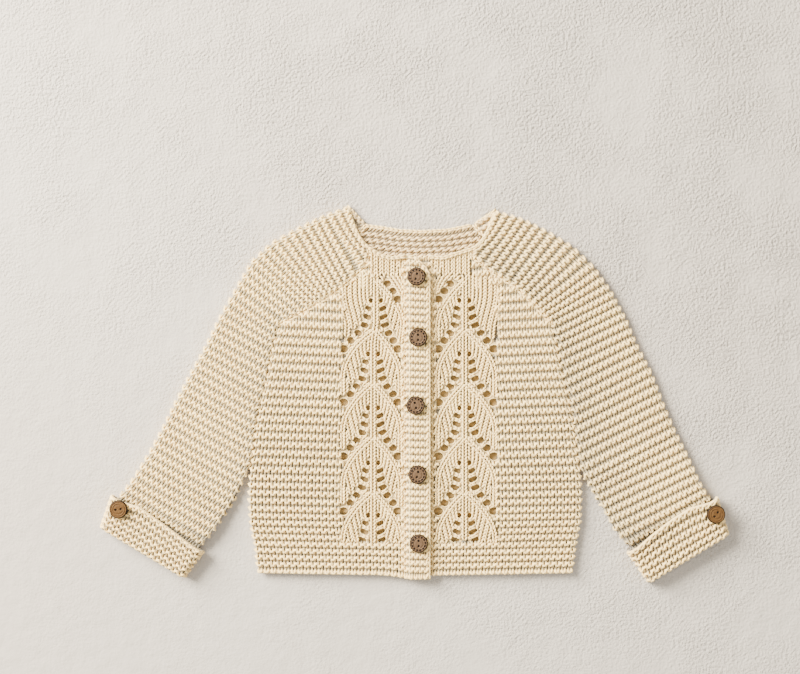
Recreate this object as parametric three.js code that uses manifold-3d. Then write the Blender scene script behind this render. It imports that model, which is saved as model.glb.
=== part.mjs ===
// Baby cardigan laid flat on a surface, sizes in millimetres, +X across the chest, +Y up to the neck, +Z up.
// Garter stitch panels, two leaf lace panels with holes, raglan sleeves, turned-back cuffs, wooden buttons.
// The wearer's right side lies at -X. The hem lies near Y = 0 until the whole is centred at the end.
import * as THREE from 'three';
import Module from 'manifold-3d';

const wasm = await Module();
wasm.setup();
const { Manifold, Mesh } = wasm;

// Driving sizes
const WALL = 2.6;            // knitted cloth, in the groove between two ridges
const RIDGE = 0.9;           // height of a garter ridge above the groove
const GAP = 0.3;             // space between two layers that lie on each other
const SEAM = 0.6;            // each panel stands back this far from the seam line, along X
const FRONT_Z = WALL + GAP;  // underside of the fronts, which lie on the back
const FRONT_TOP = FRONT_Z + WALL;
const BAND_Z = FRONT_TOP + GAP;
const BAND_TOP = BAND_Z + WALL;
const CUFF_LIFT = WALL + GAP;
const CUFF_TOP = FRONT_TOP + CUFF_LIFT + GAP + WALL;
const BODY_RIDGES = 40;
const BAND_RIDGES = 46;
const BUTTON_R = 7.5;
const BUTTON_T = 2.8;
const BAND_LEFT = -8.6;      // edges of the buttonhole band, across the chest
const BAND_RIGHT = 12.3;
const LACE_HALF = 24.6;      // half width of a lace panel, either side of its vein
const LACE_BOTTOM = 24.6;    // height of the lowest lace row above the hem

// Side fold of the body: height, half width
const SIDE = [
  { y: 0.0, x: 130.0 },
  { y: 21.3, x: 132.4 },
  { y: 41.8, x: 136.5 },
  { y: 63.1, x: 137.4 },
  { y: 81.2, x: 136.5 },
  { y: 100.9, x: 133.2 },
  { y: 121.4, x: 131.2 },
  { y: 142.7, x: 126.7 },
  { y: 163.2, x: 121.8 },
  { y: 188.6, x: 116.8 },
];

// Front raglan seams, underarm to neck: height, distance from the middle
const RAGLAN = {
  right: [
    { y: 203.4, x: 111.9 },
    { y: 217.3, x: 85.7 },
    { y: 228.0, x: 68.5 },
    { y: 239.4, x: 53.7 },
    { y: 250.1, x: 41.4 },
    { y: 265.7, x: 37.3 },
  ],
  left: [
    { y: 203.4, x: 112.8 },
    { y: 217.3, x: 100.4 },
    { y: 235.3, x: 81.6 },
    { y: 247.6, x: 61.6 },
    { y: 258.3, x: 48.8 },
    { y: 265.7, x: 48.0 },
  ],
};

// Back raglan seams, underarm to neck
const BACK_RAGLAN = {
  right: [{ y: 203.4, x: 111.9 }, { y: 284.5, x: 40.6 }],
  left: [{ y: 203.4, x: 112.8 }, { y: 285.4, x: 48.8 }],
};

// Free inner edge of each sleeve below the place where it leaves the body, cuff end first
const INNER = {
  right: [
    { y: -1.6, x: 191.8 },
    { y: 18.9, x: 176.2 },
    { y: 37.7, x: 161.5 },
    { y: 59.0, x: 147.2 },
    { y: 81.2, x: 137.3 },
  ],
  left: [
    { y: -5.7, x: 194.3 },
    { y: 18.1, x: 177.1 },
    { y: 36.1, x: 161.9 },
    { y: 59.0, x: 148.8 },
    { y: 79.2, x: 137.3 },
  ],
};

// Sleeve rows, neck first: point on the shoulder fold, height of the row's end on the front seam and on
// the back seam, ridges to the next row, height of the ridges (0 to 1), lift off the surface (0 to 1)
const SLEEVE = {
  right: [
    { x: 55.3, y: 300.1, front: 265.7, back: 284.5, ridges: 3, ridge: 0, lift: 0 },
    { x: 77.5, y: 291.9, front: 240.3, back: 270.6, ridges: 3, ridge: 1, lift: 0 },
    { x: 98.0, y: 282.1, front: 229.2, back: 256.7, ridges: 3, ridge: 1, lift: 0 },
    { x: 118.5, y: 270.6, front: 222.2, back: 243.5, ridges: 3, ridge: 1, lift: 0 },
    { x: 134.9, y: 255.0, front: 215.7, back: 225.5, ridges: 3, ridge: 1, lift: 0 },
    { x: 147.2, y: 233.7, front: 205.8, back: 205.8, ridges: 4, ridge: 1, lift: 0 },
    { x: 161.5, y: 208.3, front: 183.7, back: 183.7, ridges: 4, ridge: 1, lift: 0 },
    { x: 173.0, y: 184.5, front: 156.2, back: 156.2, ridges: 3, ridge: 1, lift: 0 },
    { x: 185.3, y: 162.4, front: 130.4, back: 130.4, ridges: 3, ridge: 1, lift: 0 },
    { x: 196.8, y: 140.6, front: 104.1, back: 104.1, ridges: 3, ridge: 1, lift: 0 },
    { x: 207.0, y: 119.7, front: 80.4, back: 80.4, ridges: 3, ridge: 1, lift: 0.1 },
    { x: 218.4, y: 98.4, front: 59.0, back: 59.0, ridges: 3, ridge: 1, lift: 0.45 },
    { x: 231.0, y: 77.7, front: 38.5, back: 38.5, ridges: 2, ridge: 1, lift: 0.95 },
    { x: 238.0, y: 68.0, front: 28.5, back: 28.5, ridges: 1, ridge: 0, lift: 1 },
  ],
  left: [
    { x: 66.0, y: 296.8, front: 265.7, back: 285.4, ridges: 3, ridge: 0, lift: 0 },
    { x: 88.1, y: 290.3, front: 249.0, back: 270.6, ridges: 3, ridge: 1, lift: 0 },
    { x: 108.6, y: 280.4, front: 238.0, back: 256.7, ridges: 3, ridge: 1, lift: 0 },
    { x: 129.2, y: 268.1, front: 227.0, back: 241.9, ridges: 3, ridge: 1, lift: 0 },
    { x: 147.2, y: 250.9, front: 216.0, back: 225.5, ridges: 3, ridge: 1, lift: 0 },
    { x: 161.1, y: 231.2, front: 205.0, back: 205.0, ridges: 4, ridge: 1, lift: 0 },
    { x: 172.6, y: 209.9, front: 182.9, back: 182.9, ridges: 4, ridge: 1, lift: 0 },
    { x: 182.9, y: 186.1, front: 155.8, back: 155.8, ridges: 3, ridge: 1, lift: 0 },
    { x: 194.8, y: 163.2, front: 128.7, back: 128.7, ridges: 3, ridge: 1, lift: 0 },
    { x: 203.8, y: 139.4, front: 102.5, back: 102.5, ridges: 3, ridge: 1, lift: 0 },
    { x: 213.2, y: 117.3, front: 78.0, back: 78.0, ridges: 3, ridge: 1, lift: 0.1 },
    { x: 223.8, y: 96.0, front: 59.0, back: 59.0, ridges: 3, ridge: 1, lift: 0.45 },
    { x: 233.4, y: 74.4, front: 38.5, back: 38.5, ridges: 2, ridge: 1, lift: 0.95 },
    { x: 238.9, y: 65.0, front: 28.0, back: 28.0, ridges: 1, ridge: 0, lift: 1 },
  ],
};

// Sleeve ends inside the cuffs: free edge of the cuff and fold of the cuff, outer and inner corner
const CUFF = {
  right: {
    freeOuter: [245.3, 60.6], freeInner: [176.2, 18.9], foldOuter: [254.3, 36.0], foldInner: [191.8, -1.6],
    rise: [1.0, 6.5, 5.0, 2.5, 0.0],
  },
  left: {
    freeOuter: [244.4, 57.4], freeInner: [177.1, 18.1], foldOuter: [253.4, 30.3], foldInner: [194.3, -5.7],
    rise: [3.0, 8.5, 8.0, 5.0, 0.5],
  },
};
const CUFF_DEPTH = 25;
const CUFF_RIDGES = 5;
const SLEEVE_STOP = 0.86;    // share of the cuff's depth that the sleeve reaches inside

// Neck edge of each front: distance from the middle, height
const NECK = {
  right: [{ x: 8.6, y: 259.1 }, { x: 18.9, y: 257.7 }, { x: 27.5, y: 259.9 }, { x: 37.3, y: 265.7 }],
  left: [{ x: 12.7, y: 258.7 }, { x: 22.9, y: 257.7 }, { x: 35.5, y: 261.9 }, { x: 48.0, y: 265.7 }],
};
// Neck edge of the back, across the chest
const BACK_NECK = [
  { x: -40.6, y: 284.5 },
  { x: -27.5, y: 282.9 },
  { x: -12.7, y: 280.4 },
  { x: 6.1, y: 279.6 },
  { x: 27.1, y: 280.8 },
  { x: 37.3, y: 282.9 },
  { x: 48.8, y: 285.4 },
];

// Lace: eyelets fan out and down from the vein. Height above the next leaf's tip, offset from the vein
// away from the band and towards it, size across, size up, slant in radians with the outer end higher
const EYELET = [
  { up: 15.3, out: 6.0, in: 5.7, w: 4.9, h: 3.7, slant: 0.45 },
  { up: 8.4, out: 6.9, in: 6.2, w: 6.4, h: 3.8, slant: 0.45 },
  { up: 1.7, out: 9.0, in: 7.6, w: 6.6, h: 3.9, slant: 0.3 },
  { up: -4.9, out: 13.5, in: 11.6, w: 6.2, h: 4.2, slant: 0.2 },
  { up: -11.0, out: 18.5, in: 16.4, w: 6.4, h: 4.7, slant: 0.1 },
  { up: -17.9, out: 24.2, in: 21.4, w: 7.4, h: 5.2, slant: 0 },
];
// Height of each leaf's tip, shift of its eyelets on the right front, first and last of EYELET, and
// whether they stand on the band's side only
const LEAVES = [
  { tip: 241.9, shift: 0, first: 3, last: 5, inOnly: true },
  { tip: 201.3, shift: -2.3, first: 0, last: 5, inOnly: false },
  { tip: 157.4, shift: 0, first: 0, last: 5, inOnly: false },
  { tip: 113.2, shift: 0, first: 0, last: 5, inOnly: false },
  { tip: 68.1, shift: 0, first: 0, last: 5, inOnly: false },
  { tip: 25.0, shift: 0, first: 0, last: 2, inOnly: false },
];
const VEIN = { right: 34.4, left: 40.6 };
const INNER_EDGE = { right: 8.9, left: 12.7 };

const BAND_BUTTONS = [[1.5, 243.1], [2.9, 192.9], [1.2, 137.5], [2.2, 81.2], [2.9, 25.1]];
const CUFF_BUTTONS = { right: [-241.0, 53.3], left: [244.3, 49.2] };

// A table read as a line: value of one column at a height given in another
function read(table, from, to, value) {
  const rows = [...table].sort((a, b) => a[from] - b[from]);
  if (value <= rows[0][from]) {
    return rows[0][to];
  }
  for (let i = 1; i < rows.length; i += 1) {
    const a = rows[i - 1];
    const b = rows[i];
    if (value <= b[from]) {
      return a[to] + (b[to] - a[to]) * (value - a[from]) / (b[from] - a[from]);
    }
  }
  return rows[rows.length - 1][to];
}

const mix = (a, b, t) => a + (b - a) * t;
const mixPoint = (a, b, t) => [mix(a[0], b[0], t), mix(a[1], b[1], t)];
const span = (n, from = 0, to = 1) => Array.from({ length: n + 1 }, (_, i) => mix(from, to, i / n));

// A column is a line of points up the cloth, each with its place t between 0 and 1
function column(places, point) {
  return places.map((t, i) => ({ t, p: point(t, i) }));
}

// Closed skin over columns that go round a section: the first `upper` columns are the top face, the rest
// come back along the underside. Neighbours may have different numbers of points.
function skin(columns, upper) {
  const points = [];
  const faces = [];
  const lines = columns.map((c) => c.map((q) => {
    points.push(q.p);
    return { t: q.t, i: points.length - 1 };
  }));
  const zip = (a, b, add) => {
    let i = 0;
    let j = 0;
    while (i < a.length - 1 || j < b.length - 1) {
      const stepA = j === b.length - 1 || (i < a.length - 1 && a[i + 1].t <= b[j + 1].t);
      if (stepA) {
        add(a[i].i, b[j].i, a[i + 1].i);
        i += 1;
      } else {
        add(a[i].i, b[j].i, b[j + 1].i);
        j += 1;
      }
    }
  };
  lines.forEach((line, k) => zip(line, lines[(k + 1) % lines.length], (a, b, c) => faces.push([a, b, c])));
  for (const end of [0, 1]) {
    const pick = (line) => line[end ? line.length - 1 : 0].i;
    const top = lines.slice(0, upper).map((l, k) => ({ t: k / (upper - 1), i: pick(l) }));
    const under = lines.slice(upper).reverse();
    const low = under.map((l, k) => ({ t: k / (under.length - 1), i: pick(l) }));
    zip(top, low, (a, b, c) => faces.push(end ? [a, c, b] : [a, b, c]));
  }
  return outward(points, faces);
}

// Closed skin over rings that follow each other round a loop
function loop(rings) {
  const n = rings[0].length;
  const points = rings.flat();
  const faces = [];
  rings.forEach((_, r) => {
    const next = (r + 1) % rings.length;
    for (let k = 0; k < n; k += 1) {
      const a = r * n + k;
      const b = r * n + (k + 1) % n;
      const c = next * n + (k + 1) % n;
      const d = next * n + k;
      faces.push([a, b, c], [a, c, d]);
    }
  });
  return outward(points, faces);
}

function outward(points, faces) {
  let volume = 0;
  for (const [a, b, c] of faces) {
    const [p, q, r] = [points[a], points[b], points[c]];
    volume += p[0] * (q[1] * r[2] - q[2] * r[1]) + p[1] * (q[2] * r[0] - q[0] * r[2])
      + p[2] * (q[0] * r[1] - q[1] * r[0]);
  }
  return { points, faces: volume < 0 ? faces.map(([a, b, c]) => [a, c, b]) : faces };
}

function toManifold({ points, faces }) {
  const mesh = new Mesh({
    numProp: 3,
    vertProperties: new Float32Array(points.flat()),
    triVerts: new Uint32Array(faces.flat()),
  });
  return new Manifold(mesh);
}

function fromManifold(solid) {
  const mesh = solid.getMesh();
  const points = [];
  for (let i = 0; i < mesh.vertProperties.length; i += mesh.numProp) {
    points.push(Array.from(mesh.vertProperties.slice(i, i + 3)));
  }
  const faces = [];
  for (let i = 0; i < mesh.triVerts.length; i += 3) {
    faces.push(Array.from(mesh.triVerts.slice(i, i + 3)));
  }
  return { points, faces };
}

const group = new THREE.Group();
group.name = 'baby_cardigan';

const COLOURS = { knit: 0xefe7d6, edge: 0xe9dfc9, wood: 0x86664f, pale_wood: 0xa8763f };

function add(name, { points, faces }, colour) {
  const geometry = new THREE.BufferGeometry();
  geometry.setAttribute('position', new THREE.Float32BufferAttribute(points.flat(), 3));
  geometry.setIndex(faces.flat());
  geometry.computeVertexNormals();
  const material = new THREE.MeshStandardMaterial({ color: COLOURS[colour], roughness: 0.9 });
  material.name = `${name}_material`;
  const mesh = new THREE.Mesh(geometry, material);
  mesh.name = name;
  group.add(mesh);
}

// Prism with a six-sided outline, used to cut one eyelet
function eyelet(x, y, w, h, tilt) {
  const ring = [0, 1, 2, 3, 4, 5].map((k) => {
    const a = k * Math.PI / 3;
    const u = Math.cos(a) * w / 2;
    const v = Math.sin(a) * h / 2 * 1.1;
    return [x + u * Math.cos(tilt) - v * Math.sin(tilt), y + u * Math.sin(tilt) + v * Math.cos(tilt)];
  });
  const low = ring.map(([a, b]) => [a, b, FRONT_Z - 1]);
  const high = ring.map(([a, b]) => [a, b, FRONT_TOP + 3]);
  const faces = [];
  for (let k = 0; k < 6; k += 1) {
    const n = (k + 1) % 6;
    faces.push([k, n, 6 + n], [k, 6 + n, 6 + k]);
  }
  for (let k = 1; k < 5; k += 1) {
    faces.push([0, k + 1, k], [6, 6 + k, 6 + k + 1]);
  }
  return toManifold(outward([...low, ...high], faces));
}

// Centres and sizes of the eyelets of one front, in distance from the middle and height
function eyelets(side) {
  const holes = [];
  const inner = INNER_EDGE[side];
  for (const leaf of LEAVES) {
    const vein = VEIN[side] + (side === 'right' ? leaf.shift : 0);
    for (const e of EYELET.slice(leaf.first, leaf.last + 1)) {
      const y = leaf.tip + e.up;
      const near = Math.max(vein - e.in, inner + 1.6 + e.w / 2);
      holes.push({ d: near, y, w: e.w, h: e.h, tilt: -e.slant });
      if (!leaf.inOnly) {
        holes.push({ d: vein + e.out, y, w: e.w, h: e.h, tilt: e.slant });
      }
    }
  }
  return holes;
}

// One front panel. d is the distance from the middle on that side.
function front(side) {
  const sign = side === 'right' ? -1 : 1;
  const outline = [...SIDE, ...RAGLAN[side]];
  const vein = VEIN[side];
  const inner = INNER_EDGE[side];
  const edge = (y) => read(outline, 'y', 'x', y) - SEAM;
  const neckY = (d) => read(NECK[side], 'x', 'y', d);
  const hemY = (d) => read([{ x: inner, y: -2 }, { x: vein, y: 0 }], 'x', 'y', d);
  const fine = span(BODY_RIDGES * 2);
  const laceStep = Math.round(LACE_BOTTOM / 265 * BODY_RIDGES * 2);
  const semi = fine.filter((_, i) => i <= laceStep || i >= 60 || i % 10 === 0);
  const crest = (i) => (i % 2 ? RIDGE : 0);
  const place = (limit, inset) => (t) => {
    const top = neckY(Math.min(limit, edge(265.7) - inset));
    const y = mix(hemY(limit), top, t);
    return [sign * Math.min(limit, edge(y) - inset), y];
  };
  const fineColumn = (limit, inset) => column(fine, (t, i) => [
    ...place(limit, inset)(t),
    FRONT_TOP + (i < fine.length - 1 ? crest(i) : 0),
  ]);
  const semiColumn = (limit, inset, raised) => column(semi, (t) => {
    const i = Math.round(t * BODY_RIDGES * 2);
    const plain = i > laceStep && i < fine.length - 4;
    const z = i <= laceStep || i > 75 ? crest(i) * (i < fine.length - 1 ? 1 : 0) : RIDGE * 0.4;
    return [...place(limit, inset)(t), FRONT_TOP + (plain && raised ? RIDGE : z)];
  });
  const rim = outline.map((row) => row.y / 265.7);
  const rimColumn = (inset, z) => column(rim, (t) => {
    const y = t * 265.7;
    return [sign * (edge(y) - inset), y, z];
  });
  const coarse = fine.filter((_, i) => i % 20 === 0 || (i > 60 && i % 4 === 0));
  const flat = (limit, inset, z) => column(coarse, (t) => [...place(limit, inset)(t), z]);
  const columns = [
    rimColumn(0, FRONT_Z + 0.9),
    fineColumn(900, 2.6),
    fineColumn(vein + LACE_HALF + 1.5, 5),
    semiColumn(vein + LACE_HALF, 7.5, false),
    semiColumn(vein + 12, 10, false),
    semiColumn(vein, 12.5, true),
    semiColumn(vein - 12, 15, false),
    semiColumn(inner + 2.4, 20, false),
    flat(inner, 21, FRONT_TOP - 0.2),
    flat(inner, 21, FRONT_Z),
    flat(vein, 12.5, FRONT_Z),
    flat(vein + LACE_HALF + 1.5, 5, FRONT_Z),
    rimColumn(0.4, FRONT_Z),
  ];
  let solid = toManifold(skin(columns, 9));
  const cutters = eyelets(side).map((e) => eyelet(sign * e.d, e.y, e.w, e.h, sign * e.tilt));
  solid = solid.subtract(Manifold.union(cutters));
  add(`${side}_front`, fromManifold(solid), 'knit');
}

// The back panel, with garter ridges where its inside shows at the neck
function back() {
  const sides = [['right', -1], ['left', 1]];
  const outline = Object.fromEntries(sides.map(([s]) => [s, [...SIDE, ...BACK_RAGLAN[s]]]));
  const frontNeck = (x) => (x < 0 ? read(NECK.right, 'x', 'y', -x) : read(NECK.left, 'x', 'y', x));
  const neckRidges = 7;
  const start = 0.87;
  const places = [0, 0.25, 0.5, 0.7, ...span(neckRidges * 2, start, 1)];
  const limitX = (s, y) => read(outline[s], 'y', 'x', y) - SEAM;
  const at = (x, inset, t) => {
    const top = read(BACK_NECK, 'x', 'y', x);
    const y = t * top;
    const s = x < 0 ? 'right' : 'left';
    const sign = x < 0 ? -1 : 1;
    return [sign * Math.min(Math.abs(x), limitX(s, y) - inset), y];
  };
  const upper = (x, inset, ridged = true) => column(places, (t, i) => {
    const [px, py] = at(x, inset, t);
    const clear = Math.max(frontNeck(px - 11), frontNeck(px), frontNeck(px + 11));
    const shows = ridged && py > clear + 2.5 && i % 2 && i < places.length - 1;
    return [px, py, WALL + (shows ? RIDGE : 0)];
  });
  const plain = [0, 0.25, 0.5, 0.7, 0.8, 0.9, 1];
  const lower = (x, inset) => column(plain, (t) => [...at(x, inset, t), 0]);
  const rim = (s, sign, inset, z) => {
    const rows = outline[s];
    const top = rows[rows.length - 1].y;
    return column(rows.map((r) => r.y / top), (t) => [sign * (limitX(s, t * top) - inset), t * top, z]);
  };
  const columns = [
    rim('right', -1, 0, 1.8),
    rim('right', -1, 1.8, WALL),
    upper(-36, 3, false),
    upper(-32, 7),
    upper(-24, 14),
    upper(-12, 18),
    upper(3, 22),
    upper(16, 18),
    upper(28, 15),
    upper(38, 8),
    upper(45, 3, false),
    rim('left', 1, 1.8, WALL),
    rim('left', 1, 0, 1.8),
    rim('left', 1, 0, 1.0),
    rim('left', 1, 2.2, 0),
    lower(30, 8),
    lower(-25, 8),
    rim('right', -1, 2.2, 0),
    rim('right', -1, 0, 1.0),
  ];
  add('back', skin(columns, 13), 'knit');
}

// One sleeve: a sheet folded over the shoulder, its two seam edges meeting at the body and underarm
function sleeve(side) {
  const sign = side === 'right' ? -1 : 1;
  const cuff = CUFF[side];
  const frontLine = [...INNER[side], ...SIDE.slice(5), ...RAGLAN[side]];
  const backLine = [...INNER[side], ...SIDE.slice(5), ...BACK_RAGLAN[side]];
  const end = (share) => ({
    outer: mixPoint(cuff.freeOuter, cuff.foldOuter, share),
    inner: mixPoint(cuff.freeInner, cuff.foldInner, share),
  });
  const keys = SLEEVE[side].map((r) => ({
    outer: [r.x, r.y],
    front: r.front,
    back: r.back,
    ridges: r.ridges,
    ridge: r.ridge,
    lift: r.lift,
  }));
  for (const share of [0, SLEEVE_STOP]) {
    const e = end(share);
    const row = { outer: e.outer, front: e.inner[1], back: e.inner[1], ridges: 1, ridge: 0, lift: 1 };
    keys.push(row);
  }
  const rows = [];
  const keyPlaces = [];
  keys.forEach((k, i) => {
    keyPlaces.push(rows.length);
    const next = keys[i + 1];
    const steps = next ? k.ridges * 2 : 1;
    for (let j = 0; j < steps; j += 1) {
      const u = j / steps;
      const n = next || k;
      rows.push({
        outer: mixPoint(k.outer, n.outer, u),
        front: mix(k.front, n.front, u),
        back: mix(k.back, n.back, u),
        lift: mix(k.lift, n.lift, u) * CUFF_LIFT,
        ridge: (rows.length % 2) * RIDGE * Math.max(k.ridge, n.ridge) * (k.ridge ? mix(k.ridge, n.ridge, u) : 1),
      });
    }
  });
  const last = rows.length - 1;
  const fine = rows.map((_, i) => i / last);
  const key = keyPlaces.map((i) => i / last);
  const point = (t, from, inset, z, relief) => {
    const row = rows[Math.round(t * last)];
    const line = from === 'front' ? frontLine : backLine;
    const y = from === 'front' ? row.front : row.back;
    const seam = [read(line, 'y', 'x', y) + SEAM, y];
    const length = Math.hypot(row.outer[0] - seam[0], row.outer[1] - seam[1]);
    const share = inset < 0 ? 1 + inset / length : inset / length;
    const p = inset === 0.5 ? mixPoint(seam, row.outer, 0.5) : mixPoint(seam, row.outer, share);
    return [sign * p[0], p[1], z + row.lift + row.ridge * relief];
  };
  const line = (places, from, inset, z, relief = 0) => column(places, (t) => point(t, from, inset, z, relief));
  const fold = 1e-9;
  const columns = [
    line(fine, 'front', 0, FRONT_Z + 0.9),
    line(fine, 'front', 2.6, FRONT_TOP, 1),
    line(fine, 'front', 0.5, FRONT_TOP, 1),
    line(fine, 'front', -3.2, FRONT_TOP, 1),
    line(fine, 'front', -0.9, FRONT_TOP - 1.2, 0.6),
    line(key, 'front', -fold, WALL + GAP / 2),
    line(key, 'back', -0.9, 1.2),
    line(key, 'back', -3.2, 0),
    line(key, 'back', 2.6, 0),
    line(fine, 'back', 0, 1.2),
    line(fine, 'back', 0.2, WALL),
    line(key, 'back', -WALL - 0.5, WALL),
    line(key, 'front', -WALL, WALL + GAP / 2),
    line(key, 'front', -WALL - 0.5, FRONT_Z),
    line(fine, 'front', 0.2, FRONT_Z),
  ];
  add(`${side}_sleeve`, skin(columns, 10), 'knit');
}

// One turned-back cuff: a wall round the sleeve end, folded in at the wrist
function turnedCuff(side) {
  const sign = side === 'right' ? -1 : 1;
  const c = CUFF[side];
  const low = CUFF_LIFT;
  const high = CUFF_LIFT + FRONT_TOP;
  const middle = (low + high) / 2;
  const half = (high - low) / 2;
  const start = [[0.3, 0.35], [0, 1.6], [0.9, 2.9]];
  const pitch = 4.2;
  const ridges = [];
  for (let k = 0; k < CUFF_RIDGES; k += 1) {
    ridges.push([2.4 + k * pitch, 2.9 + RIDGE], [2.4 + (k + 0.5) * pitch, 2.9]);
  }
  const end = [[23.6, 2.6], [24.8, 1.5], [25, 0], [24.6, -1.5], [23, -2.3], [21.8, -2.3], [21.8, 0.35]];
  const rings = [...start, ...ridges, ...end].map(([s, h]) => {
    const share = s / CUFF_DEPTH;
    const a = mixPoint(c.freeOuter, c.foldOuter, share);
    const b = mixPoint(c.freeInner, c.foldInner, share);
    const length = Math.hypot(b[0] - a[0], b[1] - a[1]);
    const d = [(b[0] - a[0]) / length, (b[1] - a[1]) / length];
    const axis = [-d[1], d[0]];
    const outwardAxis = side === 'right' ? axis : axis;
    const body = Math.min(h, 2.9);
    const across = [0.06, 0.3, 0.5, 0.73, 0.94];
    const ring = across.map((u, k) => {
      const p = mixPoint(a, b, u);
      const up = c.rise[k] * (1 - share) ** 2;
      const flip = outwardAxis[1] > 0 ? 1 : -1;
      return [p[0] + outwardAxis[0] * flip * up, p[1] + outwardAxis[1] * flip * up, high + h];
    });
    const arc = (centre, way) => [0.9, 0, -0.9].map((angle) => {
      const r = half + body;
      const x = Math.max(r - half, -half + 0.4);
      const reach = x - (1 - Math.cos(angle)) * r * 0.6;
      const z = Math.max(middle + Math.sin(angle) * r, 0.4);
      return [centre[0] + way[0] * reach, centre[1] + way[1] * reach, z];
    });
    const under = [0.94, 0.5, 0.06].map((u) => {
      const p = mixPoint(a, b, u);
      return [p[0], p[1], Math.max(low - h, 0)];
    });
    const all = [...ring, ...arc(b, d), ...under, ...arc(a, [-d[0], -d[1]]).reverse()];
    return all.map(([x, y, z]) => [sign * x, y, z]);
  });
  add(`${side}_cuff`, loop(rings), 'knit');
}

// The two front bands: the buttonhole band lies over the button band
function bands() {
  const bottom = -4.5;
  const fine = span(BAND_RIDGES * 2);
  const coarse = [0, 1];
  const crest = (i) => (i % 2 ? RIDGE : 0);
  const line = (places, x, z, top, ridged) => column(places, (t, i) => [
    x,
    mix(bottom, top, t),
    z + (ridged ? crest(i) : 0),
  ]);
  const upper = [
    line(coarse, BAND_LEFT, FRONT_Z + 1.4, 259, false),
    line(fine, BAND_LEFT + 1.0, FRONT_TOP - 0.2, 259, true),
    line(fine, BAND_LEFT + 3.8, BAND_TOP, 259, true),
    line(fine, BAND_RIGHT - 1.6, BAND_TOP, 257.6, true),
    line(coarse, BAND_RIGHT, BAND_Z + 1.4, 256, false),
    line(coarse, BAND_RIGHT - 0.4, BAND_Z, 256, false),
    line(coarse, BAND_LEFT + 3.7, BAND_Z, 259, false),
    line(coarse, BAND_LEFT + 1.3, FRONT_Z, 259, false),
    line(coarse, BAND_LEFT + 0.1, FRONT_Z, 259, false),
  ];
  add('buttonhole_band', skin(upper, 5), 'knit');
  const lower = [
    [BAND_LEFT + 4.1, FRONT_Z + 1.4],
    [BAND_LEFT + 4.9, FRONT_TOP],
    [BAND_RIGHT - 0.1, FRONT_TOP],
    [BAND_RIGHT - 0.1, FRONT_Z],
    [BAND_LEFT + 4.3, FRONT_Z],
  ].map(([x, z]) => column(coarse, (t) => [x, mix(bottom + 2, 257, t), z]));
  add('button_band', skin(lower, 3), 'knit');
}

// One wooden button: turned disc with a groove near its rim and two thread holes
function button(name, x, y, z, angle, colour) {
  const profile = [
    [0, 0],
    [BUTTON_R - 1.1, 0],
    [BUTTON_R - 0.2, 0.6],
    [BUTTON_R, 1.5],
    [BUTTON_R - 0.5, 2.5],
    [BUTTON_R - 1.3, BUTTON_T],
    [BUTTON_R - 1.8, BUTTON_T - 0.4],
    [BUTTON_R - 2.3, BUTTON_T - 0.1],
    [0, BUTTON_T - 0.5],
  ].map(([r, h]) => new THREE.Vector2(r, h));
  const turns = 20;
  const points = [[0, 0, 0], [0, 0, profile[profile.length - 1].y]];
  const faces = [];
  const rings = profile.slice(1, -1);
  for (const p of rings) {
    for (let k = 0; k < turns; k += 1) {
      const a = k / turns * Math.PI * 2;
      points.push([p.x * Math.cos(a), p.x * Math.sin(a), p.y]);
    }
  }
  const id = (r, k) => 2 + r * turns + (k + turns) % turns;
  for (let k = 0; k < turns; k += 1) {
    faces.push([0, id(0, k + 1), id(0, k)]);
    faces.push([1, id(rings.length - 1, k), id(rings.length - 1, k + 1)]);
    for (let r = 1; r < rings.length; r += 1) {
      faces.push([id(r - 1, k), id(r - 1, k + 1), id(r, k + 1)], [id(r - 1, k), id(r, k + 1), id(r, k)]);
    }
  }
  const hole = (side) => {
    const ring = span(7, 0, 7).map((k) => {
      const a = k / 8 * Math.PI * 2;
      return [side * 2.1 + Math.cos(a) * 0.95, Math.sin(a) * 0.95];
    });
    const low = ring.map(([a, b]) => [a, b, -1]);
    const high = ring.map(([a, b]) => [a, b, BUTTON_T + 1]);
    const sides = [];
    for (let k = 0; k < 8; k += 1) {
      const n = (k + 1) % 8;
      sides.push([k, n, 8 + n], [k, 8 + n, 8 + k]);
    }
    for (let k = 1; k < 7; k += 1) {
      sides.push([0, k + 1, k], [8, 8 + k, 8 + k + 1]);
    }
    return toManifold(outward([...low, ...high], sides));
  };
  const disc = toManifold(outward(points, faces)).subtract(hole(1)).subtract(hole(-1));
  const solid = fromManifold(disc);
  const turned = solid.points.map(([a, b, c]) => [
    x + a * Math.cos(angle) - b * Math.sin(angle),
    y + a * Math.sin(angle) + b * Math.cos(angle),
    z + c,
  ]);
  add(name, { points: turned, faces: solid.faces }, colour);
}

back();
front('right');
front('left');
sleeve('right');
sleeve('left');
turnedCuff('right');
turnedCuff('left');
bands();
BAND_BUTTONS.forEach(([x, y], i) => {
  button(`button_${i + 1}`, x, y, BAND_TOP + RIDGE + GAP, Math.PI / 2 + 0.15 * (i % 3 - 1), 'wood');
});
const cuffButtonZ = CUFF_TOP + RIDGE + GAP;
button('right_cuff_button', ...CUFF_BUTTONS.right, cuffButtonZ, 0.2, 'pale_wood');
button('left_cuff_button', ...CUFF_BUTTONS.left, cuffButtonZ, 0.9, 'pale_wood');

// Origin at the middle of the outline, on the surface the cardigan rests on
const box = new THREE.Box3().setFromObject(group);
const middle = box.getCenter(new THREE.Vector3());
group.traverse((node) => {
  if (node.isMesh) {
    node.geometry.translate(-middle.x, -middle.y, -box.min.z);
  }
});

export default group;
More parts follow.
